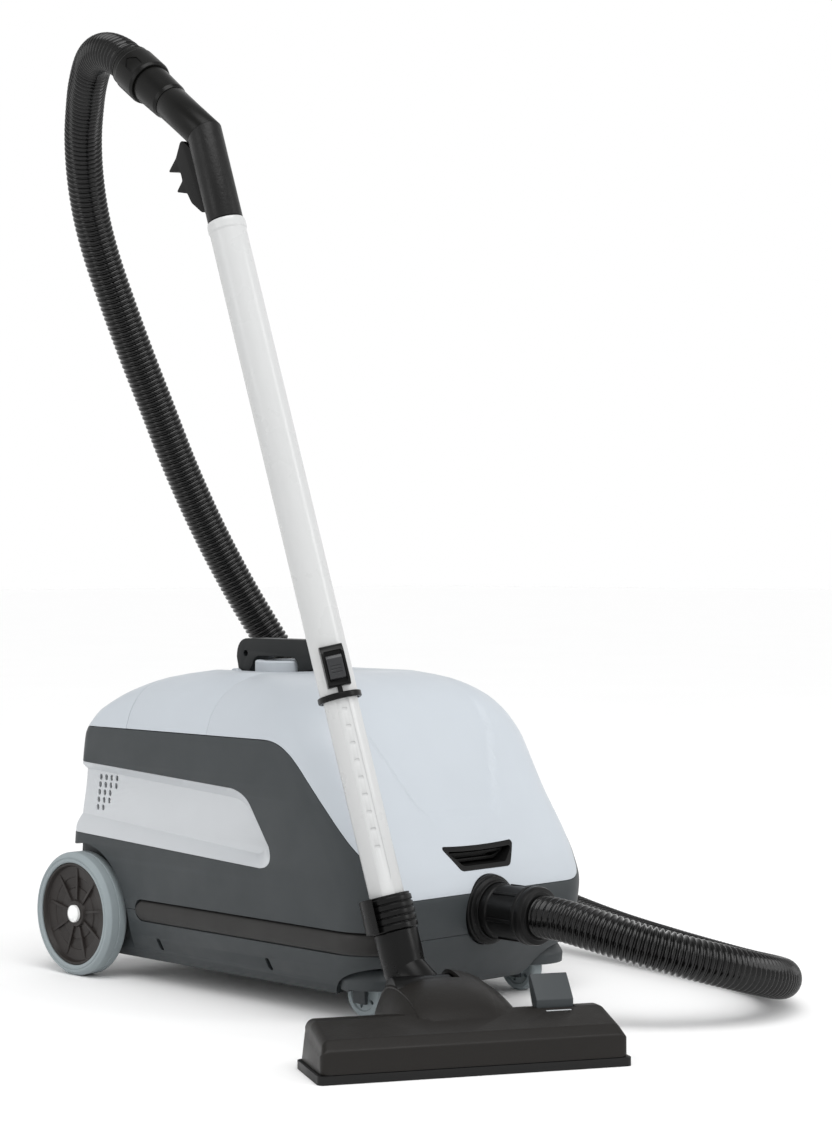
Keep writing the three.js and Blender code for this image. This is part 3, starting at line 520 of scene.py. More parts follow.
def hose_route():
    """The hose's middle line: inlet, floor, up behind the canister, over to the grip."""
    beyond_arm = [TO_CANISTER @ ARM @ Vector((0, 0, ARM_END + reach)) for reach in (12, GAP)]
    return [Vector(p) for p in (
        (0, INLET_END - GAP, INLET_Z), (0, -314, 96.5), (9, -354, 89), (28, -392, 78), (64, -424, 65),
        (108, -442, 52), (155, -441, 40), (199, -420, 31), (235, -383, 25), (260, -333, 22),
        (278, -272, 23), (293, -200, 27), (305, -122, 34), (311, -42, 47), (309, 38, 68),
        (297, 112, 100), (273, 178, 146), (242, 230, 205), (208, 267, 270), (170, 290, 338),
        (130, 302, 402), (89, 307, 468), (49, 307, 536), (11, 303, 604), (-24, 298, 665),
        (-54, 292, 718), (-79, 285, 762), (-101, 274, 801), (-122, 257, 840), (-142, 234, 876),
        (-160, 207, 903), (-177, 179, 922), (-191, 150, 938), (-202, 122, 941), (-208, 98, 937),
    )] + beyond_arm


def through(points, steps=24):
    """A smooth line through the points (centripetal Catmull-Rom)."""
    ends = [points[0] * 2 - points[1], *points, points[-1] * 2 - points[-2]]
    line = []
    for a, b, c, d in zip(ends, ends[1:], ends[2:], ends[3:]):
        t0 = 0
        t1 = t0 + (b - a).length ** 0.5
        t2 = t1 + (c - b).length ** 0.5
        t3 = t2 + (d - c).length ** 0.5
        for k in range(steps):
            t = t1 + (t2 - t1) * k / steps
            ab = a.lerp(b, (t - t0) / (t1 - t0))
            bc = b.lerp(c, (t - t1) / (t2 - t1))
            cd = c.lerp(d, (t - t2) / (t3 - t2))
            line.append(ab.lerp(bc, (t - t0) / (t2 - t0)).lerp(
                bc.lerp(cd, (t - t1) / (t3 - t1)), (t - t1) / (t2 - t1)))
    return line + [points[-1]]


def length_of(line):
    return sum((b - a).length for a, b in zip(line, line[1:]))


def stretch_of(line, start, end, step):
    """The part of a line from one length along it to another, as points a step apart."""
    marks, run = [0.0], 0.0
    for a, b in zip(line, line[1:]):
        run += (b - a).length
        marks.append(run)
    count = max(2, round((end - start) / step))
    found, k = [], 0
    for i in range(count + 1):
        wanted = start + (end - start) * i / count
        while k < len(marks) - 2 and marks[k + 1] < wanted:
            k += 1
        found.append(line[k].lerp(line[k + 1], (wanted - marks[k]) / (marks[k + 1] - marks[k])))
    return found


def tube(name, line, radius_at, segments=32, place=CANISTER, bore=None, start_side=None):
    """A round skin along a line, its radius given by the length so far; a bore makes it a pipe."""
    side = start_side or Vector((0, 0, 1))
    rings, inner, run = [], [], 0.0
    for i, here in enumerate(line):
        ahead = (line[min(i + 1, len(line) - 1)] - line[max(i - 1, 0)]).normalized()
        side = (side - ahead * side.dot(ahead)).normalized()
        across = ahead.cross(side)
        turns = [2 * math.pi * k / segments for k in range(segments)]
        around = [side * math.cos(turn) + across * math.sin(turn) for turn in turns]
        radius = radius_at(run, i / (len(line) - 1))
        rings.append([here + d * radius for d in around])
        if bore:
            inner.append([here + d * bore for d in around])
        if i + 1 < len(line):
            run += (line[i + 1] - here).length
    if not bore:
        return loft(name, rings, place)
    return loft(name, rings + inner[::-1] + rings[:1], place, caps=False)


def corrugation(run, share):
    """Round ribs: the crest is wider than the valley between two of them."""
    wave = math.cos(2 * math.pi * run / HOSE_PITCH)
    return HOSE_RADIUS - HOSE_DEPTH * (0.5 - 0.5 * wave) ** 1.6


HOSE_LINE = through(hose_route())
HOSE_LENGTH = length_of(HOSE_LINE)
BORE = 15.5


def hose(name, start, end):
    line = stretch_of(HOSE_LINE, start, end, HOSE_PITCH / 6)
    made = tube(name, line, corrugation, 30, bore=BORE, start_side=Vector((1, 0, 0)))
    made.data.shade_smooth()
    path = [CANISTER @ p for p in line[::6] + [line[-1]]]
    return made, path


def lay_hose():
    lower, lower_path = hose("hose_lower", 0, HOSE_SPLIT)
    upper, upper_path = hose("hose_upper", HOSE_SPLIT, HOSE_LENGTH)
    for piece, node in ((lower, "hose_lower_run"), (upper, "hose_upper_run")):
        piece.data.materials.append(HOSE)
        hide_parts(node)
    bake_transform(lower)
    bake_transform(upper)


lay_hose()


# ---------------------------------------------------------------- the canister's form
WALL = 3
SEAM_Z = 76
LID_REAR_Y, TOP_COVER_REAR_Y = 16, 144
COVER_EDGE_Z = 259.5
SIDE_X = 156
PANEL_DEPTH = 15
LEVELS = [
    (22, -196, 222, 132, 44, 20), (60, -217, 238, 151, 48, 16), (90, -224, 241, 155, 48, 16),
    (112, -226, 241, SIDE_X, 48, 16), (135, -219, 240, SIDE_X, 48, 16),
    (160, -205, 237, SIDE_X, 48, 16), (200, -179, 229, SIDE_X, 50, 16),
    (250, -151, 223, SIDE_X, 52, 18), (272, -138, 214, 151, 54, 24), (290, -124, 195, 141, 56, 34),
    (303, -108, 174, 126, 56, 40), (312, -90, 152, 108, 54, 44), (318, -66, 122, 84, 50, 46),
]
CREASE = [(-92, 330), (92, 330), (84, 262), (56, 196), (44, 184), (-44, 184), (-56, 196), (-84, 262)]
CREASE_DEPTH = 4.4


def inside_by(point, outline):
    """How far a point lies inside a convex outline, or a negative number outside it."""
    nearest = 1e9
    for a, b in zip(outline, outline[1:] + outline[:1]):
        edge = Vector(b) - Vector(a)
        normal = Vector((edge.y, -edge.x)).normalized()
        nearest = min(nearest, (point - Vector(a)).dot(normal))
    return nearest


def between_levels(z):
    """Front, rear, half width and corner radii at a height, on a smooth curve through the levels."""
    k = max(i for i, level in enumerate(LEVELS[:-1]) if level[0] <= z)
    a, b = LEVELS[k], LEVELS[k + 1]
    t = (z - a[0]) / (b[0] - a[0])

    def slope(i, column):
        if i == 0 or i == len(LEVELS) - 1:
            j = min(max(i, 1), len(LEVELS) - 1)
            return (LEVELS[j][column] - LEVELS[j - 1][column]) / (LEVELS[j][0] - LEVELS[j - 1][0])
        left = (LEVELS[i][column] - LEVELS[i - 1][column]) / (LEVELS[i][0] - LEVELS[i - 1][0])
        right = (LEVELS[i + 1][column] - LEVELS[i][column]) / (LEVELS[i + 1][0] - LEVELS[i][0])
        return 0 if left * right <= 0 else 2 * left * right / (left + right)

    found = []
    for column in range(1, 6):
        h = b[0] - a[0]
        m0, m1 = slope(k, column) * h, slope(k + 1, column) * h
        found.append((2 * t ** 3 - 3 * t ** 2 + 1) * a[column] + (t ** 3 - 2 * t ** 2 + t) * m0
                     + (-2 * t ** 3 + 3 * t ** 2) * b[column] + (t ** 3 - t ** 2) * m1)
    return found


def ring_at(z, height, inset, crease):
    front, rear, half, front_radius, rear_radius = between_levels(z)
    ring = []

    def corner(x, y, radius, start, steps):
        r = max(radius - inset, 2)
        for i in range(steps + 1):
            angle = start + i / steps * math.pi / 2
            ring.append(Vector((x + r * math.cos(angle), y + r * math.sin(angle), height)))

    corner(-half + front_radius, front + front_radius, front_radius, math.pi, 14)
    left, right = ring[-1].copy(), Vector((half - front_radius, ring[-1].y, height))
    for i in range(1, 56):
        ring.append(left.lerp(right, i / 56))
    corner(half - front_radius, front + front_radius, front_radius, 1.5 * math.pi, 14)
    corner(half - rear_radius, rear - rear_radius, rear_radius, 0, 8)
    corner(-half + rear_radius, rear - rear_radius, rear_radius, math.pi / 2, 8)
    if crease:
        for point in ring:
            if point.y < -40:
                depth = min(max((inside_by(Vector((point.x, z)), CREASE) + 1) / 3.6, 0), 1)
                point.y += CREASE_DEPTH * depth * depth * (3 - 2 * depth)
    return ring


def form(inset=0.0, crease=True, step=3.6):
    """The canister's whole outside, or the same drawn in by an inset."""
    low, high = LEVELS[0][0], LEVELS[-1][0]
    rounding, count = 5, round((high - low) / step)
    heights = [low + (high - low) * i / count for i in range(count + 1)]
    rings = []
    for z in heights:
        drop = inset * min(max((z - 250) / 20, 0), 1)
        lift = inset * min(max((50 - z) / 28, 0), 1)
        rings.append(ring_at(z, z - drop + lift, inset, crease))
    for ring, share in zip(rings[:2], (1, 0.3)):
        middle = sum(ring, Vector()) / len(ring)
        for point in ring:
            inward = Vector((middle.x - point.x, middle.y - point.y, 0)).normalized()
            point += inward * rounding * share
    return loft("form", rings)


ARCH_RADIUS, ARCH_X = 73, 138
CASTER_X, CASTER_Y, CASTER_POCKET, CASTER_TOP = 106, -176, 37, 56
INLET_Y, FLANGE = -222, 33.5


def round_hole(radius, axis, start, end, centre=(0, 0, 0), segments=64, place=CANISTER):
    profile = [(0, start), (radius, start), (radius, end), (0, end)]
    return lathe("tool", profile, axis, centre, place, segments, closed=False)


def arch(side, radius, x):
    return round_hole(radius, "x", x if side > 0 else -220, 220 if side > 0 else -x,
                      (0, AXLE_Y, AXLE_Z), 96)


def pocket(side, radius, top):
    return round_hole(radius, "z", 0, top, (side * CASTER_X, CASTER_Y, 0))


def seam_outline(shift, top):
    """Where the covers meet the body, seen from the side."""
    z = COVER_EDGE_Z + shift
    return curve_through(
        (280, z), [(-68, z)], [(-98, z), (-110, 248 + shift), (-126, 230 + shift)],
        [(-152, 200 + shift), (-176, 172 + shift), (-200, 150 + shift)],
        [(-212, 136 + shift), (-216, 113 + shift), (-236, 112 + shift)],
        [(-280, 112 + shift)], [(-280, top)], [(280, top)], steps=20)


def make_shell():
    outer = cut(form(), arch(-1, ARCH_RADIUS, ARCH_X), arch(1, ARCH_RADIUS, ARCH_X),
                pocket(-1, CASTER_POCKET, CASTER_TOP), pocket(1, CASTER_POCKET, CASTER_TOP))
    inner = cut(form(WALL, step=8),
                arch(-1, ARCH_RADIUS + WALL, ARCH_X - WALL), arch(1, ARCH_RADIUS + WALL, ARCH_X - WALL),
                pocket(-1, CASTER_POCKET + WALL, CASTER_TOP + WALL),
                pocket(1, CASTER_POCKET + WALL, CASTER_TOP + WALL))
    return cut(outer, inner)


# ---------------------------------------------------------------- canister body
INLET_HOLE = FLANGE + 0.6
WELL = {"x": 50, "front": 23, "rear": 139, "floor": 296, "corner": 18}
TURRET_Y, TURRET_RADIUS, TURRET_HEIGHT = 74, 31, 32
HANDLE_Y, HANDLE_Z = 131, 309


def inlet_hole():
    return round_hole(INLET_HOLE, "y", -260, -190, (0, 0, INLET_Z), 96)


def panel_mouth(margin=0.0):
    return curve_through(
        (270, 225 + margin), [(-24, 210 + margin)],
        [(-44 - margin, 207 + margin), (-53 - margin, 194)], [(-79 - margin, 158)],
        [(-87 - margin, 138), (-66, 136 - margin)], [(270, 150 - margin)])


def panel_face():
    return curve_through((270, 216), [(-16, 199)], [(-31, 196), (-37, 187)], [(-56, 162)],
                         [(-61, 149), (-48, 147)], [(270, 168)])


def side_slab(side, outline, depth, reach=10):
    near, far = SIDE_X - depth, SIDE_X + reach
    return prism(outline, "x", near if side > 0 else -far, far if side > 0 else -near)


def slot_hole(y, z, half_width, half_height):
    return round_rectangle(y - half_width, y + half_width, z - half_height, z + half_height,
                           half_width * 0.98, 5)


def side_panel(side):
    count = 132

    def ring(outline, depth):
        return [Vector((side * (SIDE_X - depth), p.x, p.y)) for p in spaced(outline, count)]

    mouth = panel_mouth()
    tray = loft("tool", [ring(mouth, -12), ring(mouth, 0), ring(panel_face(), PANEL_DEPTH)])
    panel = keep(cut(side_slab(side, mouth, PANEL_DEPTH + WALL), tray), form(0.2, crease=False))
    slots = [side_slab(side, slot_hole(204 - column * 9 + row * 1.4, 206 - row * 8, 2.2, 3.2), 30)
             for row, columns in enumerate((4, 4, 3, 3, 2)) for column in range(columns)]
    return settle(cut(panel, together(slots)), 0.7, angle=35, segments=3)


def body_path(start_y, end_x, z):
    """Along the form at one height, from the left side into the front corner."""
    front, rear, half, front_radius, rear_radius = between_levels(z)
    straight = range(int(start_y) - 6, int(front + front_radius), -6)
    line = [Vector((-half, y, z)) for y in (start_y, *straight)]
    sweep = math.acos(1 - (end_x + half) / front_radius)
    for i in range(25):
        angle = math.pi + i / 24 * sweep
        line.append(Vector((-half + front_radius * (1 + math.cos(angle)),
                            front + front_radius * (1 + math.sin(angle)), z)))
    return line


def band(name, line, section, side, taper=0.0):
    """A section of (outward, up) swept along a level line; its ends narrow over the taper's length."""
    total, rings = length_of(line), []
    if taper:
        fine = [taper * (1 - math.cos(i / 8 * math.pi / 2)) for i in range(9)]
        marks = fine + [taper + (total - 2 * taper) * i / 90 for i in range(1, 90)]
        marks += [total - mark for mark in fine[::-1]]
        line = [stretch_of(line, 0, max(mark, 1e-3), 1e9)[-1] for mark in marks]
    for i, here in enumerate(line):
        ahead = (line[min(i + 1, len(line) - 1)] - line[max(i - 1, 0)]).normalized()
        out = UP.cross(ahead) * -1
        share = 1.0
        if taper:
            near = min(marks[i], total - marks[i])
            share = math.sqrt(max(1 - (1 - min(near / taper, 1)) ** 2, 0.0004))
        ring = [here + out * a * (share if a > 0 else 1) + UP * b * share for a, b in section]
        rings.append([Vector((-side * p.x, p.y, p.z)) for p in ring])
    return loft(name, rings)


BUMPER_Z, BUMPER_REAR, BUMPER_FRONT_X = 76, 130, -114


def bumper_groove():
    tool = prism(round_rectangle(-260, BUMPER_REAR + GAP, 65 - GAP, 87 + GAP, 10.6), "x", -200, 200)
    front = -BUMPER_FRONT_X - GAP
    return cut(tool, form(4 + GAP, crease=False), box(-front, front, -300, 0, 40, 120))


def bumpers():
    bulge = [(-3.8 + 4.9 * math.sin(math.pi * i / 16) ** 0.7, 10.5 * math.cos(math.pi * i / 16))
             for i in range(17)] + [(-4.3, -10.4), (-4.3, 10.4)]
    backing = [(-6.4, -14), (-4.6, -14), (-4.6, 14), (-6.4, 14)]
    for side, name in SIDES:
        path = body_path(BUMPER_REAR, BUMPER_FRONT_X, BUMPER_Z)
        strip = settle(band("bumper", path, bulge, side, taper=10.5), angle=60)
        dress(strip, f"bumper_strip_{name}", "canister", BUMPER, f"bumper_{name}")
        behind = body_path(BUMPER_REAR + 6, BUMPER_FRONT_X + 4, BUMPER_Z)
        wall = settle(band("backing", behind, backing, side))
        dress(wall, f"bumper_backing_{name}", "canister", BODY)


def build_body(shell):
    groove = bumper_groove()
    covers = keep(copy(shell), prism(seam_outline(GAP, 400), "x", -300, 300))
    lower = keep(shell, prism(seam_outline(-GAP, -20), "x", -300, 300))

    chassis = keep(copy(lower), box(-300, 300, -300, 300, 0, SEAM_Z - 0.25))
    slotted = [side_slab(side, slot_hole(y, 42.5, 3, 6.5), 30) for side in (-1, 1) for y in (102, -66)]
    cut(chassis, copy(groove), inlet_hole(), *slotted,
        round_hole(5.4, "x", -170, 170, (0, AXLE_Y, AXLE_Z)),
        *[round_hole(4.4, "z", 40, 70, (side * CASTER_X, CASTER_Y, 0)) for side in (-1, 1)])
    dress(settle(chassis, 0.6, angle=38), "chassis_shell", "canister", BODY, "chassis")

    upper = keep(lower, box(-300, 300, -300, 300, SEAM_Z + 0.25, 400))
    cut(upper, groove, inlet_hole(),
        prism(round_rectangle(-132, 132, 152, 219, 6), "y", 205, 260),
        prism(round_rectangle(60, 96, 96, 122, 4), "y", 220, 260),
        side_slab(-1, panel_mouth(GAP), PANEL_DEPTH + 8), side_slab(1, panel_mouth(GAP), PANEL_DEPTH + 8))
    dress(settle(upper, 0.8, angle=38, segments=3), "upper_shell", "canister", BODY,
          "upper_housing")
    for side, name in SIDES:
        dress(side_panel(side), f"side_tray_{name}", "canister", SILVER, f"side_panel_{name}")
    bumpers()
    return covers


def latch_outline(grow, narrow=0.0, steps=8):
    hollow = [(50 * share, 159 + grow - 1.8 * (1 - share * share)) for share in (0.7, 0.4, 0, -0.4, -0.7)]
    corner = 50 + grow - narrow
    return filleted([(-corner, 159 + grow, 2.4), (-33 - grow, 136 - grow, 8),
                     (33 + grow, 136 - grow, 8), (corner, 159 + grow, 2.4), *hollow], steps)


def well_outline(inset, steps=10):
    return round_rectangle(-WELL["x"] + inset, WELL["x"] - inset, WELL["front"] + inset,
                           WELL["rear"] - inset, WELL["corner"] - inset, steps)


def pin_hole(y, z):
    return round_hole(3.4, "x", -30, 30, (0, y, z), 32)


def build_covers(covers):
    def part(y0, y1):
        return keep(copy(covers), box(-300, 300, y0, y1, 0, 400))

    lid = cut(part(-300, LID_REAR_Y - GAP), inlet_hole(), prism(latch_outline(GAP), "y", -260, -150))
    dress(settle(lid, 0.9, angle=38, segments=3), "lid_shell", "lid", COVER, "lid")

    top = cut(part(LID_REAR_Y, TOP_COVER_REAR_Y),
              prism(well_outline(-WALL), "z", WELL["floor"] - WALL, 400))
    dress(settle(top, 0.9, angle=38, segments=3), "top_cover_shell", "canister", COVER,
          "top_cover")
    tub = cut(keep(prism(well_outline(-WALL), "z", WELL["floor"] - WALL, 400), form(0.1, crease=False)),
              prism(well_outline(0), "z", WELL["floor"], 400),
              round_hole(6, "z", 280, 310, (0, TURRET_Y, 0)))
    dress(settle(tub, 0.8, angle=38, segments=3), "handle_well", "canister", COVER)
    turret = lathe("turret", filleted([(24, 0.2), (TURRET_RADIUS, 0.2), (TURRET_RADIUS, TURRET_HEIGHT, 2.4),
                                       (24, TURRET_HEIGHT, 1)]), "z", (0, TURRET_Y, WELL["floor"]))
    dress(settle(turret), "button_turret", "canister", COVER)
    lug_foot = WELL["floor"] - 1
    lug = filleted([(123, lug_foot), (139, lug_foot), (139, 318, 7.8), (123, 318, 7.8)], 10)
    for side, name in SIDES:
        near, far = (15, 21) if side > 0 else (-21, -15)
        ear = cut(prism(lug, "x", near, far), pin_hole(HANDLE_Y, HANDLE_Z))
        dress(settle(ear, 0.9, segments=3), f"handle_lug_{name}", "canister", COVER)

    undercut = prism([(205, 200), (280, 200), (280, 268), (214, 264)], "x", -300, 300)
    rear = cut(part(TOP_COVER_REAR_Y + GAP, 300), undercut)
    dress(settle(rear, 0.9, angle=38, segments=3), "rear_cover_shell", "canister", COVER,
          "rear_cover")
    bpy.data.objects.remove(covers)


build_covers(build_body(make_shell()))


# ---------------------------------------------------------------- latch, handle and power button
def build_latch():
    bezel = keep(prism(latch_outline(0), "y", -240, -186), form(-0.5, crease=False))
    cut(bezel, prism(latch_outline(-4.2), "y", -260, -188.2))
    dress(settle(bezel, 1.1, segments=3), "latch_frame", "lid", TRIM, "latch_bezel")
    lever = cut(prism(latch_outline(-6.4, 2), "y", -203, -190.5),
                prism(latch_outline(-9.2, 2), "y", -240, -194))
    dress(settle(lever, 0.7, segments=3), "latch_pull_lever", "latch", TRIM, "latch_lever")


def handle_outline():
    heel = [(HANDLE_Y + 7.6 * math.cos(a), HANDLE_Z + 7.6 * math.sin(a))
            for a in (math.pi + (math.pi + 1.3) * i / 20 for i in range(21))]
    return curve_through(
        (136.5, 330), [(136, 350), (118, 350)], [(16, 350)], [(4, 349), (5, 336)],
        [(7, 324), (24, 318)], [(28, WELL["floor"] + 6)], [(40, WELL["floor"] + 6)], [(39, 322)],
        [(40, 331), (50, 332)], [(98, 332)], [(110, 331), (111, 322)], [(122, 309)], steps=8) + heel


def build_handle():
    handle = cut(prism(handle_outline(), "x", -13, 13),
                 pin_hole(HANDLE_Y, HANDLE_Z), pin_hole(122, 334))
    dress(settle(handle, 2.6, angle=50, segments=4), "carry_handle_grip", "carry_handle", HANDLE,
          "carry_handle", slot="body_dark")


def build_button():
    radius = TURRET_RADIUS - 7.6
    profile = filleted([(0, 290), (5.4, 290), (5.4, 315), (radius, 315), (radius, 322.4, 1.6),
                        (radius - 5, 322.4, 0.5), (radius - 6, 321.2, 0.5), (0, 321.8)])
    button = lathe("button", profile, "z", (0, TURRET_Y, 0), closed=False)
    dress(settle(button), "power_button_cap", "power_button", BODY, "power_button")


# ---------------------------------------------------------------- rear end
def build_rear():
    louvres = [prism(round_rectangle(x, x + 20, z, z + 3.5, 1.6), "y", 200, 260)
               for x in range(-114, 95, 26) for z in (161 + row * 6.4 for row in range(8))]
    grille = keep(prism(round_rectangle(-131.6, 131.6, 152.4, 218.6, 6), "y", 216, 250),
                  form(2, crease=False))
    cut(grille, form(6, crease=False), together(louvres))
    dress(settle(grille, 0.35, segments=1), "exhaust_louvres", "canister", TRIM,
          "exhaust_grille")
    inlet = cut(prism(round_rectangle(60.5, 95.5, 96.5, 121.5, 4), "y", 205, 243),
                prism(round_rectangle(64, 92, 100, 118, 3), "y", 222, 260))
    dress(settle(inlet, 0.7), "mains_socket_body", "canister", TRIM, "mains_inlet")
    for x, z in ((71, 107), (85, 107), (78, 111)):
        blade = settle(prism(round_rectangle(x - 1, x + 1, z - 2, z + 2, 0.6), "y", 221, 236), 0.3)
        dress(blade, f"mains_contact_{x}", "canister", STEEL)
    deck = keep(box(-149, 149, 176, 216, 254.5, 258), form(WALL + 1, crease=False))
    dress(settle(deck, 0.8), "rear_ledge", "canister", TRIM, "rear_deck")


# ---------------------------------------------------------------- hose inlet
def build_inlet():
    flange = lathe("flange", filleted([
        (26.6, -12), (28.2, -12, 0.6), (28.6, -7.5), (30.4, -7.5, 0.8), (31, -5.2), (33.5, -4.4, 1.6),
        (33.5, 1), (29, 1), (29, 22), (26.6, 22)]), "y", (0, INLET_Y, INLET_Z))
    half_ring = cut(lathe("tool", filleted([(28, -9.2, 0.7), (32.2, -7.8, 0.7), (32.2, -3), (28, -3)]), "y",
                          (0, INLET_Y, INLET_Z)), box(2, 60, -300, -200, 40, 160))
    dress(settle(join(flange, half_ring), 0.3, angle=40), "inlet_ring", "canister", TRIM,
          "inlet_flange")
    cuff = lathe("cuff", filleted([
        (16.2, INLET_END + 0.5), (22.4, INLET_END + 0.5, 0.8), (22.8, -289.4), (26.8, -288.6, 1),
        (28, -285.5, 1), (28, -281), (27.3, -280.4), (27.3, -279.6), (28, -279), (28, -275.6, 0.8),
        (26, -274.5), (25, -242, 0.5), (26.2, -240.5, 0.5), (26.2, -203), (16.2, -203)]),
        "y", (0, 0, INLET_Z))
    for turn in range(6):
        angle = turn / 6 * 2 * math.pi + 0.35
        place = CANISTER @ Matrix.Translation((0, 0, INLET_Z)) @ Matrix.Rotation(angle, 4, "Y")
        rib = prism(filleted([(-2.2, 22), (2.2, 22), (1.6, 26.9, 0.8), (-1.6, 26.9, 0.8)]), "y",
                    -275, -244, place)
        join(cuff, rib)
    dress(settle(cuff, 0.4, angle=40), "inlet_cuff_body", "inlet_cuff", TRIM, "inlet_cuff")


# ---------------------------------------------------------------- wheels
def build_wheels():
    for side, name in SIDES:
        at, body = (0, AXLE_Y, AXLE_Z), f"rear_wheel_{name}"

        def turned(label, corners, steps=6, segments=128):
            profile = filleted([(r, side * x, *more) for r, x, *more in corners], steps)
            return lathe(label, profile, "x", at, segments=segments)

        tyre = turned("tyre", [
            (53.3, 143), (59.5, 143, 2), (64, 147.5, 3), (64, 155.6), (63.5, 156), (63.5, 157), (64, 157.4),
            (64, 165.6, 3), (60.2, 170, 2), (58.4, 170, 0.4), (58, 169.4), (57.2, 169.4), (56.8, 170, 0.4),
            (54.4, 169.8, 0.8), (53.3, 168.8)])
        dress(settle(tyre), f"tyre_tread_{name}", body, TYRE, f"tyre_{name}")
        disc = turned("disc", [
            (5.4, 146), (12, 146), (14, 154), (53, 154), (53, 168, 0.8), (50.4, 168, 1.2), (48.6, 163.4, 1),
            (38, 162.2, 0.5), (37.4, 161.4, 0.5), (27, 160.6, 0.5), (26.4, 161.6, 0.5), (14.6, 162, 1),
            (13.2, 165.2, 1), (5.4, 165.2)])
        for spoke in range(9):
            turn = Matrix.Rotation(spoke / 9 * 2 * math.pi + 0.2, 4, "X")
            place = CANISTER @ Matrix.Translation(at) @ turn
            rib = prism(round_rectangle(14, 47.5, -1.3, 1.3, 1.2), "x",
                        *sorted((side * 158, side * 163.6)), place)
            join(disc, rib)
        dress(settle(disc, 0.35, angle=40), f"wheel_dish_{name}", body, DISC,
              f"wheel_disc_{name}")
        cap = turned("cap", [(0, 165.4), (9, 165.4), (9, 168.4, 1.6), (5, 170.6, 3), (0, 171)], 8, 48)
        dress(settle(cap), f"axle_cover_{name}", body, CAP, f"axle_cap_{name}")


CASTER_TRAIL, CASTER_RADIUS = 10, 23


def build_casters():
    for side, name in SIDES:
        x, y = side * CASTER_X, CASTER_Y
        wheel_y = y + CASTER_TRAIL
        fork = lathe("fork", filleted([(0, 14), (24, 14, 2), (33, 24, 3), (34, 40, 4), (28, 50, 3), (9, 52),
                                       (9, 55), (4, 55), (4, 66), (0, 66)]), "z", (x, y, 0), closed=False)
        cut(fork, box(x - 8.6, x + 8.6, y - 14, wheel_y + 27, 0, 50),
            box(x - 50, x + 50, y - 60, wheel_y - 8, 0, 31),
            box(x - 50, x + 50, wheel_y + 8, wheel_y + 60, 0, 31),
            box(x - 50, x - 12.6, y - 60, y + 60, 0, 29), box(x + 12.6, x + 50, y - 60, y + 60, 0, 29))
        dress(settle(fork, 0.9, angle=40, segments=3), f"caster_shell_{name}", f"caster_{name}", BODY,
              f"caster_fork_{name}")
        half = 7.5
        wheel = lathe("wheel", filleted([
            (3, -half), (7.5, -half, 0.6), (8.5, -5.4, 0.6), (16, -5.4, 0.6), (17, -half, 0.6),
            (21, -half, 1), (CASTER_RADIUS, -5.5, 1.5), (CASTER_RADIUS, 5.5, 1.5), (21, half, 1),
            (17, half, 0.6), (16, 5.4, 0.6), (8.5, 5.4, 0.6), (7.5, half, 0.6), (3, half)]),
            "x", (x, wheel_y, CASTER_RADIUS), segments=72)
        slots = []
        for turn in range(5):
            place = (CANISTER @ Matrix.Translation((x, wheel_y, CASTER_RADIUS))
                     @ Matrix.Rotation(turn / 5 * 2 * math.pi, 4, "X"))
            slots.append(prism(round_rectangle(9.6, 15, -1.6, 1.6, 1.5), "x", -12, 12, place))
        body = f"caster_wheel_{name}"
        dress(settle(cut(wheel, *slots), 0.3, angle=40), f"caster_tyre_{name}", body, TYRE, body)


build_latch()
build_handle()
build_button()
build_rear()
build_inlet()
build_wheels()
build_casters()


# ---------------------------------------------------------------- wand
CATCH = WAND @ Matrix.Rotation(-2.2, 4, "Z")
INNER_RADIUS, OUTER_RADIUS, OUTER_TOP = 16, 17.6, 751


def build_tubes():
    inner = lathe("inner", [(14, 72), (INNER_RADIUS, 72), (INNER_RADIUS, 545), (14, 545)], place=WAND)
    track = cut(prism(round_rectangle(-5.6, 5.6, 112, 530, 5.5), "x", 10, 20, CATCH),
                round_hole(INNER_RADIUS - 0.55, "z", 90, 560, place=WAND))
    cut(inner, track)
    for step in range(9):
        middle = 146 + step * 16
        cut(inner, prism(round_rectangle(-2.6, 2.6, middle - 1.6, middle + 1.6, 1.5), "x",
                         14.7, 20, CATCH))
    dress(settle(inner, 0.25, angle=40), "wand_inner_tube", "wand_lower", TUBE, "inner_tube")
    profile = filleted([(16.4, 285), (OUTER_RADIUS, 285, 0.6), (OUTER_RADIUS, 740, 1), (18.4, 742, 1.5),
                        (18.4, 748, 2), (OUTER_RADIUS, OUTER_TOP, 0.6), (16.4, OUTER_TOP)])
    dress(settle(lathe("outer", profile, place=WAND)), "wand_outer_tube", "wand_upper", TUBE, "outer_tube")


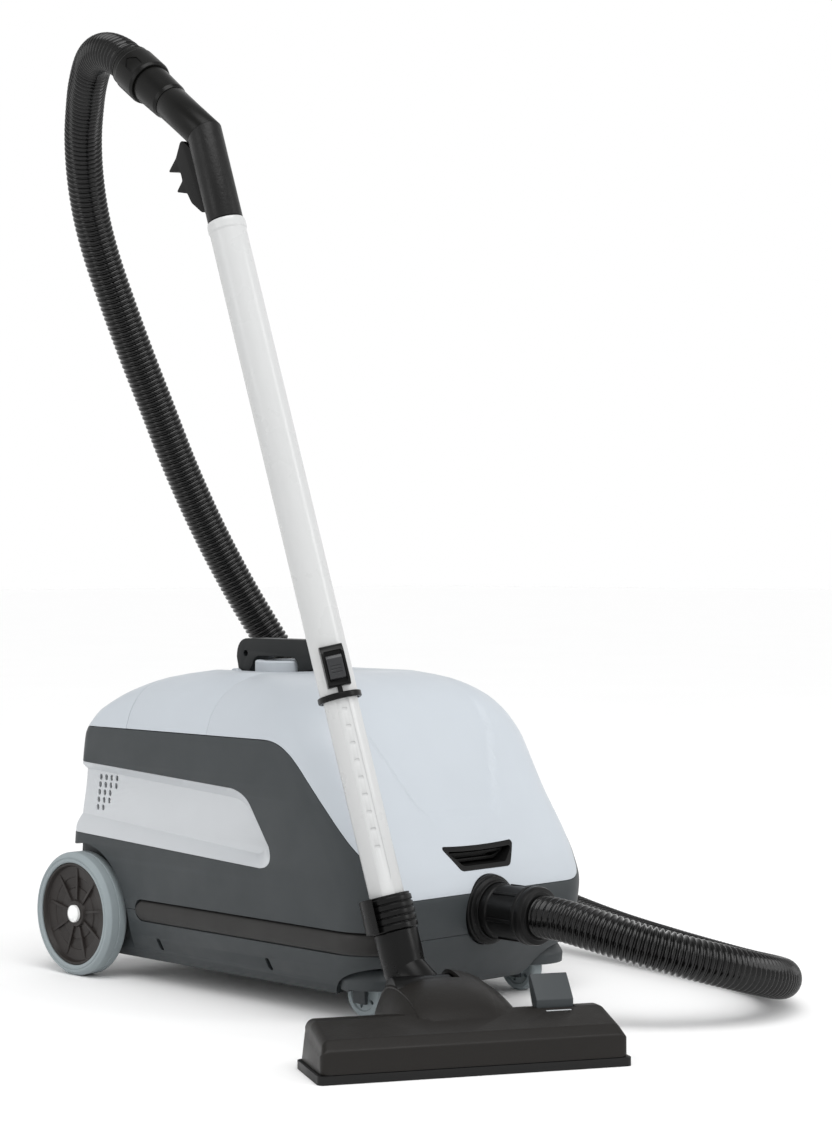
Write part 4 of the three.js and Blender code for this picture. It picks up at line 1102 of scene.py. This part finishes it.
def build_catch():
    housing = prism(filleted([(12, 294.5), (23.4, 294.5, 3), (26, 299, 3), (26, 326, 4), (22, 333, 5),
                              (12, 333)]), "y", -10.6, 10.6, CATCH)
    cut(housing, prism(round_rectangle(-8.2, 8.2, 296.6, 327.2, 1), "x", 21.2, 40, CATCH))
    stem = prism(round_rectangle(-2.2, 2.2, 286, 296, 0.6), "x", 12, 19.6, CATCH)
    ring = lathe("ring", filleted([(15, 283.6), (20.4, 283.6, 1.2), (20.4, 289.4, 1.2), (15, 289.4)]),
                 place=WAND)
    collar = cut(join(housing, stem, ring), round_hole(OUTER_RADIUS + 0.1, "z", 270, 340, place=WAND))
    dress(settle(collar, 0.7, angle=40, segments=3), "telescope_catch", "wand_upper", WAND_BLACK,
          "telescope_collar")
    slider = prism(filleted([(21.6, 301), (25.6, 301, 1.5), (27.2, 304, 1.5), (27.2, 320, 2),
                             (25.6, 323, 1.5), (21.6, 323)]), "y", -7.4, 7.4, CATCH)
    for z in (306, 309, 312):
        cut(slider, prism(round_rectangle(26.5, 29, z, z + 1.2, 0.5), "y", -5, 5, CATCH))
    dress(settle(slider, 0.5, segments=3), "catch_slider", "release_slider", SLIDER,
          "release_slider", slot="wand_black")


CUFF_FROM, CUFF_TO, NECK_BEND = 70, 102, 36


def build_cuff():
    corners = [(16.4, CUFF_FROM), (20.6, CUFF_FROM, 0.6)]
    for rib in range(5):
        z = CUFF_FROM + 0.8 + rib * 6
        corners += [(21.5, z, 0.8), (21.5, z + 4.6, 0.8), (20.2, z + 5, 0.3), (20.2, z + 5.8, 0.3)]
    corners += [(20.4, CUFF_TO, 0.8), (16.4, CUFF_TO)]
    dress(settle(lathe("cuff", filleted(corners, 4), place=WAND)), "wand_cuff_ribbed", "wand_lower",
          WAND_BLACK, "wand_cuff")
    place = WAND @ Matrix.Rotation(-0.77, 4, "Z")
    clip = lathe("clip", [(21.8, 56), (26.6, 56), (26.6, CUFF_TO), (21.8, CUFF_TO)], place=place)
    cut(clip, box(-14, 60, -60, 60, 0, 200, place),
        prism([(-40, 50), (40, 50), (40, 60), (-40, 74)], "y", -60, 60, place))
    dress(settle(clip, 1.1, segments=3), "parking_shell", "wand_lower", WAND_BLACK,
          "parking_clip")


# ---------------------------------------------------------------- grip
def build_grip():
    mitre = UP.rotation_difference((ARM_LOCAL + UP).normalized()).to_matrix().to_4x4()
    lower = lathe("lower", filleted([(0, OUTER_TOP + 1 - GRIP_BEND), (16.9, OUTER_TOP + 1 - GRIP_BEND, 1),
                                     (16.9, 30), (0, 30)]), place=GRIP, closed=False)
    plug = round_hole(15.9, "z", -122, -80, place=GRIP)
    lower = cut(join(lower, plug), box(-60, 60, -60, 60, 0, 120, GRIP @ mitre),
                round_hole(12.6, "z", -140, 60, place=GRIP))
    dress(settle(lower, 0.9, angle=28, segments=3), "grip_lower", "wand_upper", GRIP_GRAIN, "grip",
          slot="grip_black")
    upper = lathe("upper", filleted([(0, -30), (16.9, -30), (16.9, 34, 30), (17.2, 61.4), (14.4, 61.4),
                                     (14.4, 92), (0, 92)]), place=ARM, closed=False)
    cut(upper, box(-60, 60, -60, 60, -120, 0.1, GRIP @ mitre), round_hole(12.6, "z", -60, 100, place=ARM))
    dress(settle(upper, 0.4, angle=40), "grip_arm", "wand_upper", GRIP_BLACK)
    sleeve = lathe("sleeve", filleted([(14.8, 62), (17.4, 62, 0.5), (18.6, 66, 2), (19.4, 92, 2),
                                       (19.7, 100.4, 0.6), (14.8, 100.4)]), place=ARM)
    dress(settle(sleeve), "grip_sleeve_ring", "wand_upper", GRIP_BLACK, "grip_sleeve")
    cuff = lathe("cuff", filleted([
        (15, 101), (21.6, 101, 0.8), (22.8, 104.5, 1.5), (22.8, 131, 1), (21.8, 133, 0.5), (21.8, 137),
        (21.2, 137.6), (21.2, 138.4), (21.8, 139, 0.4), (20.2, ARM_END, 1), (15, ARM_END)]), place=ARM)
    for turn in range(2):
        place = ARM @ Matrix.Rotation(math.pi * turn + 0.6, 4, "Z")
        mark = filleted([(-7, 108, 2), (7, 108, 2), (7, 120, 1), (0, 127, 1), (-7, 120, 1)])
        cut(cuff, cut(prism(mark, "x", 10, 30, place), round_hole(21.6, "z", 90, 140, place=ARM)))
    dress(settle(cuff, 0.4, angle=40), "hose_end_cuff", "hose_cuff", GRIP_BLACK, "hose_cuff")
    hook = prism(filleted([(16.2, -73), (22, -71, 5), (33, -57, 8), (36, -46, 3), (50, -39, 1.2),
                           (38.5, -32, 3), (38.5, -23, 3), (55, -16.5, 1.2), (40, -8, 8), (27, 6, 4),
                           (16.2, -9)]), "x", -7, 7, GRIP)
    cut(hook, round_hole(17.1, "z", -120, 0, place=GRIP), round_hole(17.2, "z", -20, 80, place=ARM))
    dress(settle(hook, 1.5, angle=40, segments=3), "hose_hook", "wand_upper", WAND_BLACK,
          "hook_clip")


# ---------------------------------------------------------------- floor nozzle
FRONT, DEPTH, HALF_WIDTH, SOLE_THICK = -121, 74, 137.5, 7.5
NOZZLE_AXIS = (0, 0, PIVOT.z)
DRUM_RADIUS = 21.5


def bar_ring(x, inset):
    """One upright section of the nozzle's bar, drawn in evenly near its ends."""
    side = 1 if x > 0 else -1
    section = filleted([(0, 8), (2.5, 27, 4), (12, 34.6, 5), (50, 44, 16), (66, 43.5, 10), (73, 37, 5),
                        (74, 8)], 7)
    ring = []
    for y, z in section:
        draft = 2 + 3 * min(max((z - 26) / 10, 0), 1)
        depth = min(max(y, inset), DEPTH - inset)
        top = z - inset * min(max((z - 20) / 12, 0), 1)
        ring.append(Vector((x - side * draft * min(abs(x) / HALF_WIDTH, 1) ** 8, FRONT + depth, top)))
    return ring


def bar(shrink=0.0, radius=9.0):
    end, rings = HALF_WIDTH - shrink, []
    places = [radius * (1 - math.cos(i / 9 * math.pi / 2)) for i in range(10)]
    for distance in places + [30, 60, 100] + [137.5]:
        rings.append((-(end - distance), distance))
    rings += [(-x, distance) for x, distance in rings[-2::-1]]
    made = []
    for x, distance in rings:
        near = min(distance / radius, 1)
        round_off = radius * (1 - math.sqrt(max(1 - (1 - near) ** 2, 0)))
        made.append(bar_ring(x if x else 0.001, shrink + round_off * 0.8))
    return loft("bar", made, NOZZLE)


HOOD = [(FRONT + 26, 52, 34), (FRONT + 50, 62, 52), (FRONT + 80, 63, 63), (0, 58, 68), (22, 50, 64),
        (32, 44, 56)]


def hood(inset=0.0, grow=0.0):
    line = through([Vector((width, y, top)) for y, width, top in HOOD], steps=5)
    first, last = line[0].y, line[-1].y
    rings = []
    for point in line:
        y = min(max(point.y, first + inset), last - inset)
        ring = []
        for i in range(49):
            angle = i / 48 * math.pi
            c, s = math.cos(angle), math.sin(angle)
            ring.append(Vector((math.copysign(abs(c) ** 0.75, c) * (point.x - inset + grow), y,
                                8 + (point.z - 8 - inset + grow) * s ** 0.75)))
        bottom = 2 if inset else 8
        rings.append(ring + [Vector((-(point.x - inset + grow), y, bottom)),
                             Vector((point.x - inset + grow, y, bottom))])
    return loft("hood", rings, NOZZLE)


def build_nozzle():
    plateau = keep(hood(grow=0.9), prism([(-38, FRONT + 22), (28, FRONT + 22), (40, 34), (-46, 34)],
                                         "z", 20, 90, NOZZLE))
    cover = join(bar(), hood(), plateau)
    cut(cover, bar(2.6), hood(2.6), box(-42, 14, -26, 60, 24, 120, NOZZLE),
        round_hole(DRUM_RADIUS + 0.8, "x", -33, 33, NOZZLE_AXIS, 96, NOZZLE),
        box(70, 106, FRONT + 50, FRONT + 90, 30, 70, NOZZLE),
        prism(round_rectangle(76, 100, FRONT + 43, FRONT + 46.4, 1.2), "z", 41.2, 60, NOZZLE))
    dress(settle(cover, 1.1, angle=36, segments=3), "nozzle_shell", "nozzle", NOZZLE_GRAIN,
          "nozzle_cover")
    marker = prism(round_rectangle(76.4, 99.6, FRONT + 43.4, FRONT + 46, 1), "z", 39, 42.6, NOZZLE)
    dress(settle(marker, 0.2), "nozzle_marker", "nozzle", SILVER)

    half, back = HALF_WIDTH + 1, FRONT + DEPTH + 1
    sole = prism(filleted([(-half, FRONT - 1, 5), (half, FRONT - 1, 5), (half, back, 5), (64, back, 2),
                           (52, 24, 6), (48, 33, 10), (-48, 33, 10), (-52, 24, 6), (-64, back, 2),
                           (-half, back, 5)]), "z", 0, SOLE_THICK, NOZZLE)
    cut(sole, box(-112.6, 112.6, FRONT + 5.4, FRONT + 11.6, -5, 30, NOZZLE),
        prism(round_rectangle(-118, 118, FRONT + 16, FRONT + 30, 6), "z", -5, 20, NOZZLE),
        *[box(side * 34 - 9, side * 34 + 9, 3, 25, -5, 20, NOZZLE) for side in (-1, 1)])
    dress(settle(sole, 0.8, segments=3), "sole", "nozzle", SOLE, "sole_plate")

    pedal = prism(curve_through((FRONT + 54, 38), [(FRONT + 60, 36)], [(FRONT + 70, 46), (FRONT + 76, 66)],
                                [(FRONT + 76, 69), (FRONT + 72, 70)], [(FRONT + 62, 60), (FRONT + 54, 50)]),
                  "x", 71, 105, NOZZLE)
    dress(settle(pedal, 1.2, segments=3), "pedal_tread", "foot_pedal", BODY, "foot_pedal",
          slot="nozzle_black")
    for side, name in SIDES:
        roller = lathe("roller", filleted([(2, -8), (9, -8, 2), (9, 8, 2), (2, 8)]), "x",
                       (side * 34, 14, 9), NOZZLE, 48)
        dress(settle(roller, 0.3), f"floor_roller_{name}", f"roller_{name}", SOLE,
              f"roller_{name}")


def build_bristles():
    points, faces = [], []
    for row in range(3):
        for tuft in range(112):
            x, y = -111 + tuft * 2 + row * 0.6, FRONT + 7 + row * 1.5
            base = len(points)
            for radius, z in ((0.85, 17), (1.1, 3.7)):
                points += [Vector((x + radius * math.cos(a), y + radius * 0.7 * math.sin(a), z))
                           for a in (0, 1.571, 3.142, 4.712)]
            faces += [(base, base + 1, base + 2, base + 3), (base + 7, base + 6, base + 5, base + 4)]
            faces += [(base + i, base + j, base + 4 + j, base + 4 + i)
                      for i, j in ((0, 1), (1, 2), (2, 3), (3, 0))]
    tufts = mesh_object("tufts", points, faces, NOZZLE)
    holder = box(-112, 112, FRONT + 6, FRONT + 11, 14, 18, NOZZLE)
    for piece, name, nodes in ((tufts, "bristle_tufts", ["brush_strip"]), (holder, "bristle_holder", [])):
        dress(piece, name, "brush_strip", BRISTLE, *nodes)


def build_neck():
    bend = WAND_START + WAND_LINE * NECK_BEND
    at = tuple(PIVOT)
    drum = lathe("drum", filleted([(0, -24), (DRUM_RADIUS, -24, 1.5), (DRUM_RADIUS, 24, 1.5), (0, 24)]),
                 "x", NOZZLE_AXIS, NOZZLE, closed=False)
    shroud = lathe("shroud", filleted([(0, -41.4), (24.6, -41.4, 1.5), (24.6, 13.4, 1.5), (0, 13.4)]), "x",
                   NOZZLE_AXIS, NOZZLE, closed=False)
    stub_turn = UP.rotation_difference(bend.normalized()).to_matrix().to_4x4()
    stub = round_hole(18, "z", 0, bend.length, place=CANISTER @ Matrix.Translation(at) @ stub_turn)
    arc = [(19.6 * math.cos(a), 19.6 * math.sin(a)) for a in (math.pi * (i / 24 - 0.5) for i in range(25))]
    arc[0], arc[-1] = (0, -19.6), (0, 19.6)
    knuckle = lathe("knuckle", arc, place=CANISTER @ Matrix.Translation(Vector(at) + bend) @ WAND_TURN,
                    closed=False)
    pipe = lathe("pipe", filleted([(0, NECK_BEND), (19.4, NECK_BEND), (20, 50, 6), (20, CUFF_FROM - GAP, 1),
                                   (0, CUFF_FROM - GAP)]), place=WAND, closed=False)
    neck = cut(join(drum, shroud, stub, knuckle, pipe), round_hole(16.4, "z", 62, 90, place=WAND),
               round_hole(14, "z", 40, 70, place=WAND))
    dress(settle(neck, 0.8, angle=30, segments=3), "swivel_neck", "wand_lower", WAND_BLACK,
          "nozzle_neck")


# ---------------------------------------------------------------- inside the canister
def build_inside():
    rings = []
    for k in range(1, 40):
        turn = math.pi * k / 40
        ring = []
        for i in range(96):
            angle = 2 * math.pi * i / 96
            fold = 1 - 0.018 * (1 + math.sin(angle * 11 + 3 * math.sin(turn * 5))) * math.sin(turn)
            width = math.sin(turn) ** 0.8
            ring.append(Vector((-106 * math.cos(turn), -112 + 68 * width * math.cos(angle) * fold,
                                156 + 65 * width * math.sin(angle) * fold)))
        rings.append(ring)
    dress(settle(loft("bag", rings)), "dust_bag_paper", "canister", PAPER, "dust_bag")
    plate = cut(prism(round_rectangle(-48, 48, 88, 160, 8), "y", -186, -182.5),
                round_hole(17.5, "y", -220, -150, (0, 0, INLET_Z + 16)))
    dress(settle(plate, 0.5), "dust_bag_plate", "canister", PAPER, "bag_plate")


def finish_left_nodes():
    """CAD pieces that keep their own shape: a material, soft edges and smooth round sides."""
    left = {"bulkhead": BODY, "motor_filter": FELT, "motor_seal": BUMPER, "motor": MOTOR, "fan": STEEL,
            "exhaust_filter": FELT, "power_switch": TRIM, "handle_pin": STEEL, "rear_axle": STEEL,
            "caster_axle_left": STEEL, "caster_axle_right": STEEL}
    for name, material in left.items():
        piece = bpy.data.objects[name]
        for slot in piece.material_slots:
            slot.material = material
        piece.data.shade_smooth()
        piece.data.set_sharp_from_angle(angle=math.radians(35))
        rounding = piece.modifiers.new("bevel", "BEVEL")
        rounding.width = 0.0004
        rounding.segments = 2
        rounding.limit_method = "ANGLE"
        rounding.angle_limit = math.radians(40)


build_tubes()
build_catch()
build_cuff()
build_grip()
build_nozzle()
build_bristles()
build_neck()
build_inside()
finish_left_nodes()
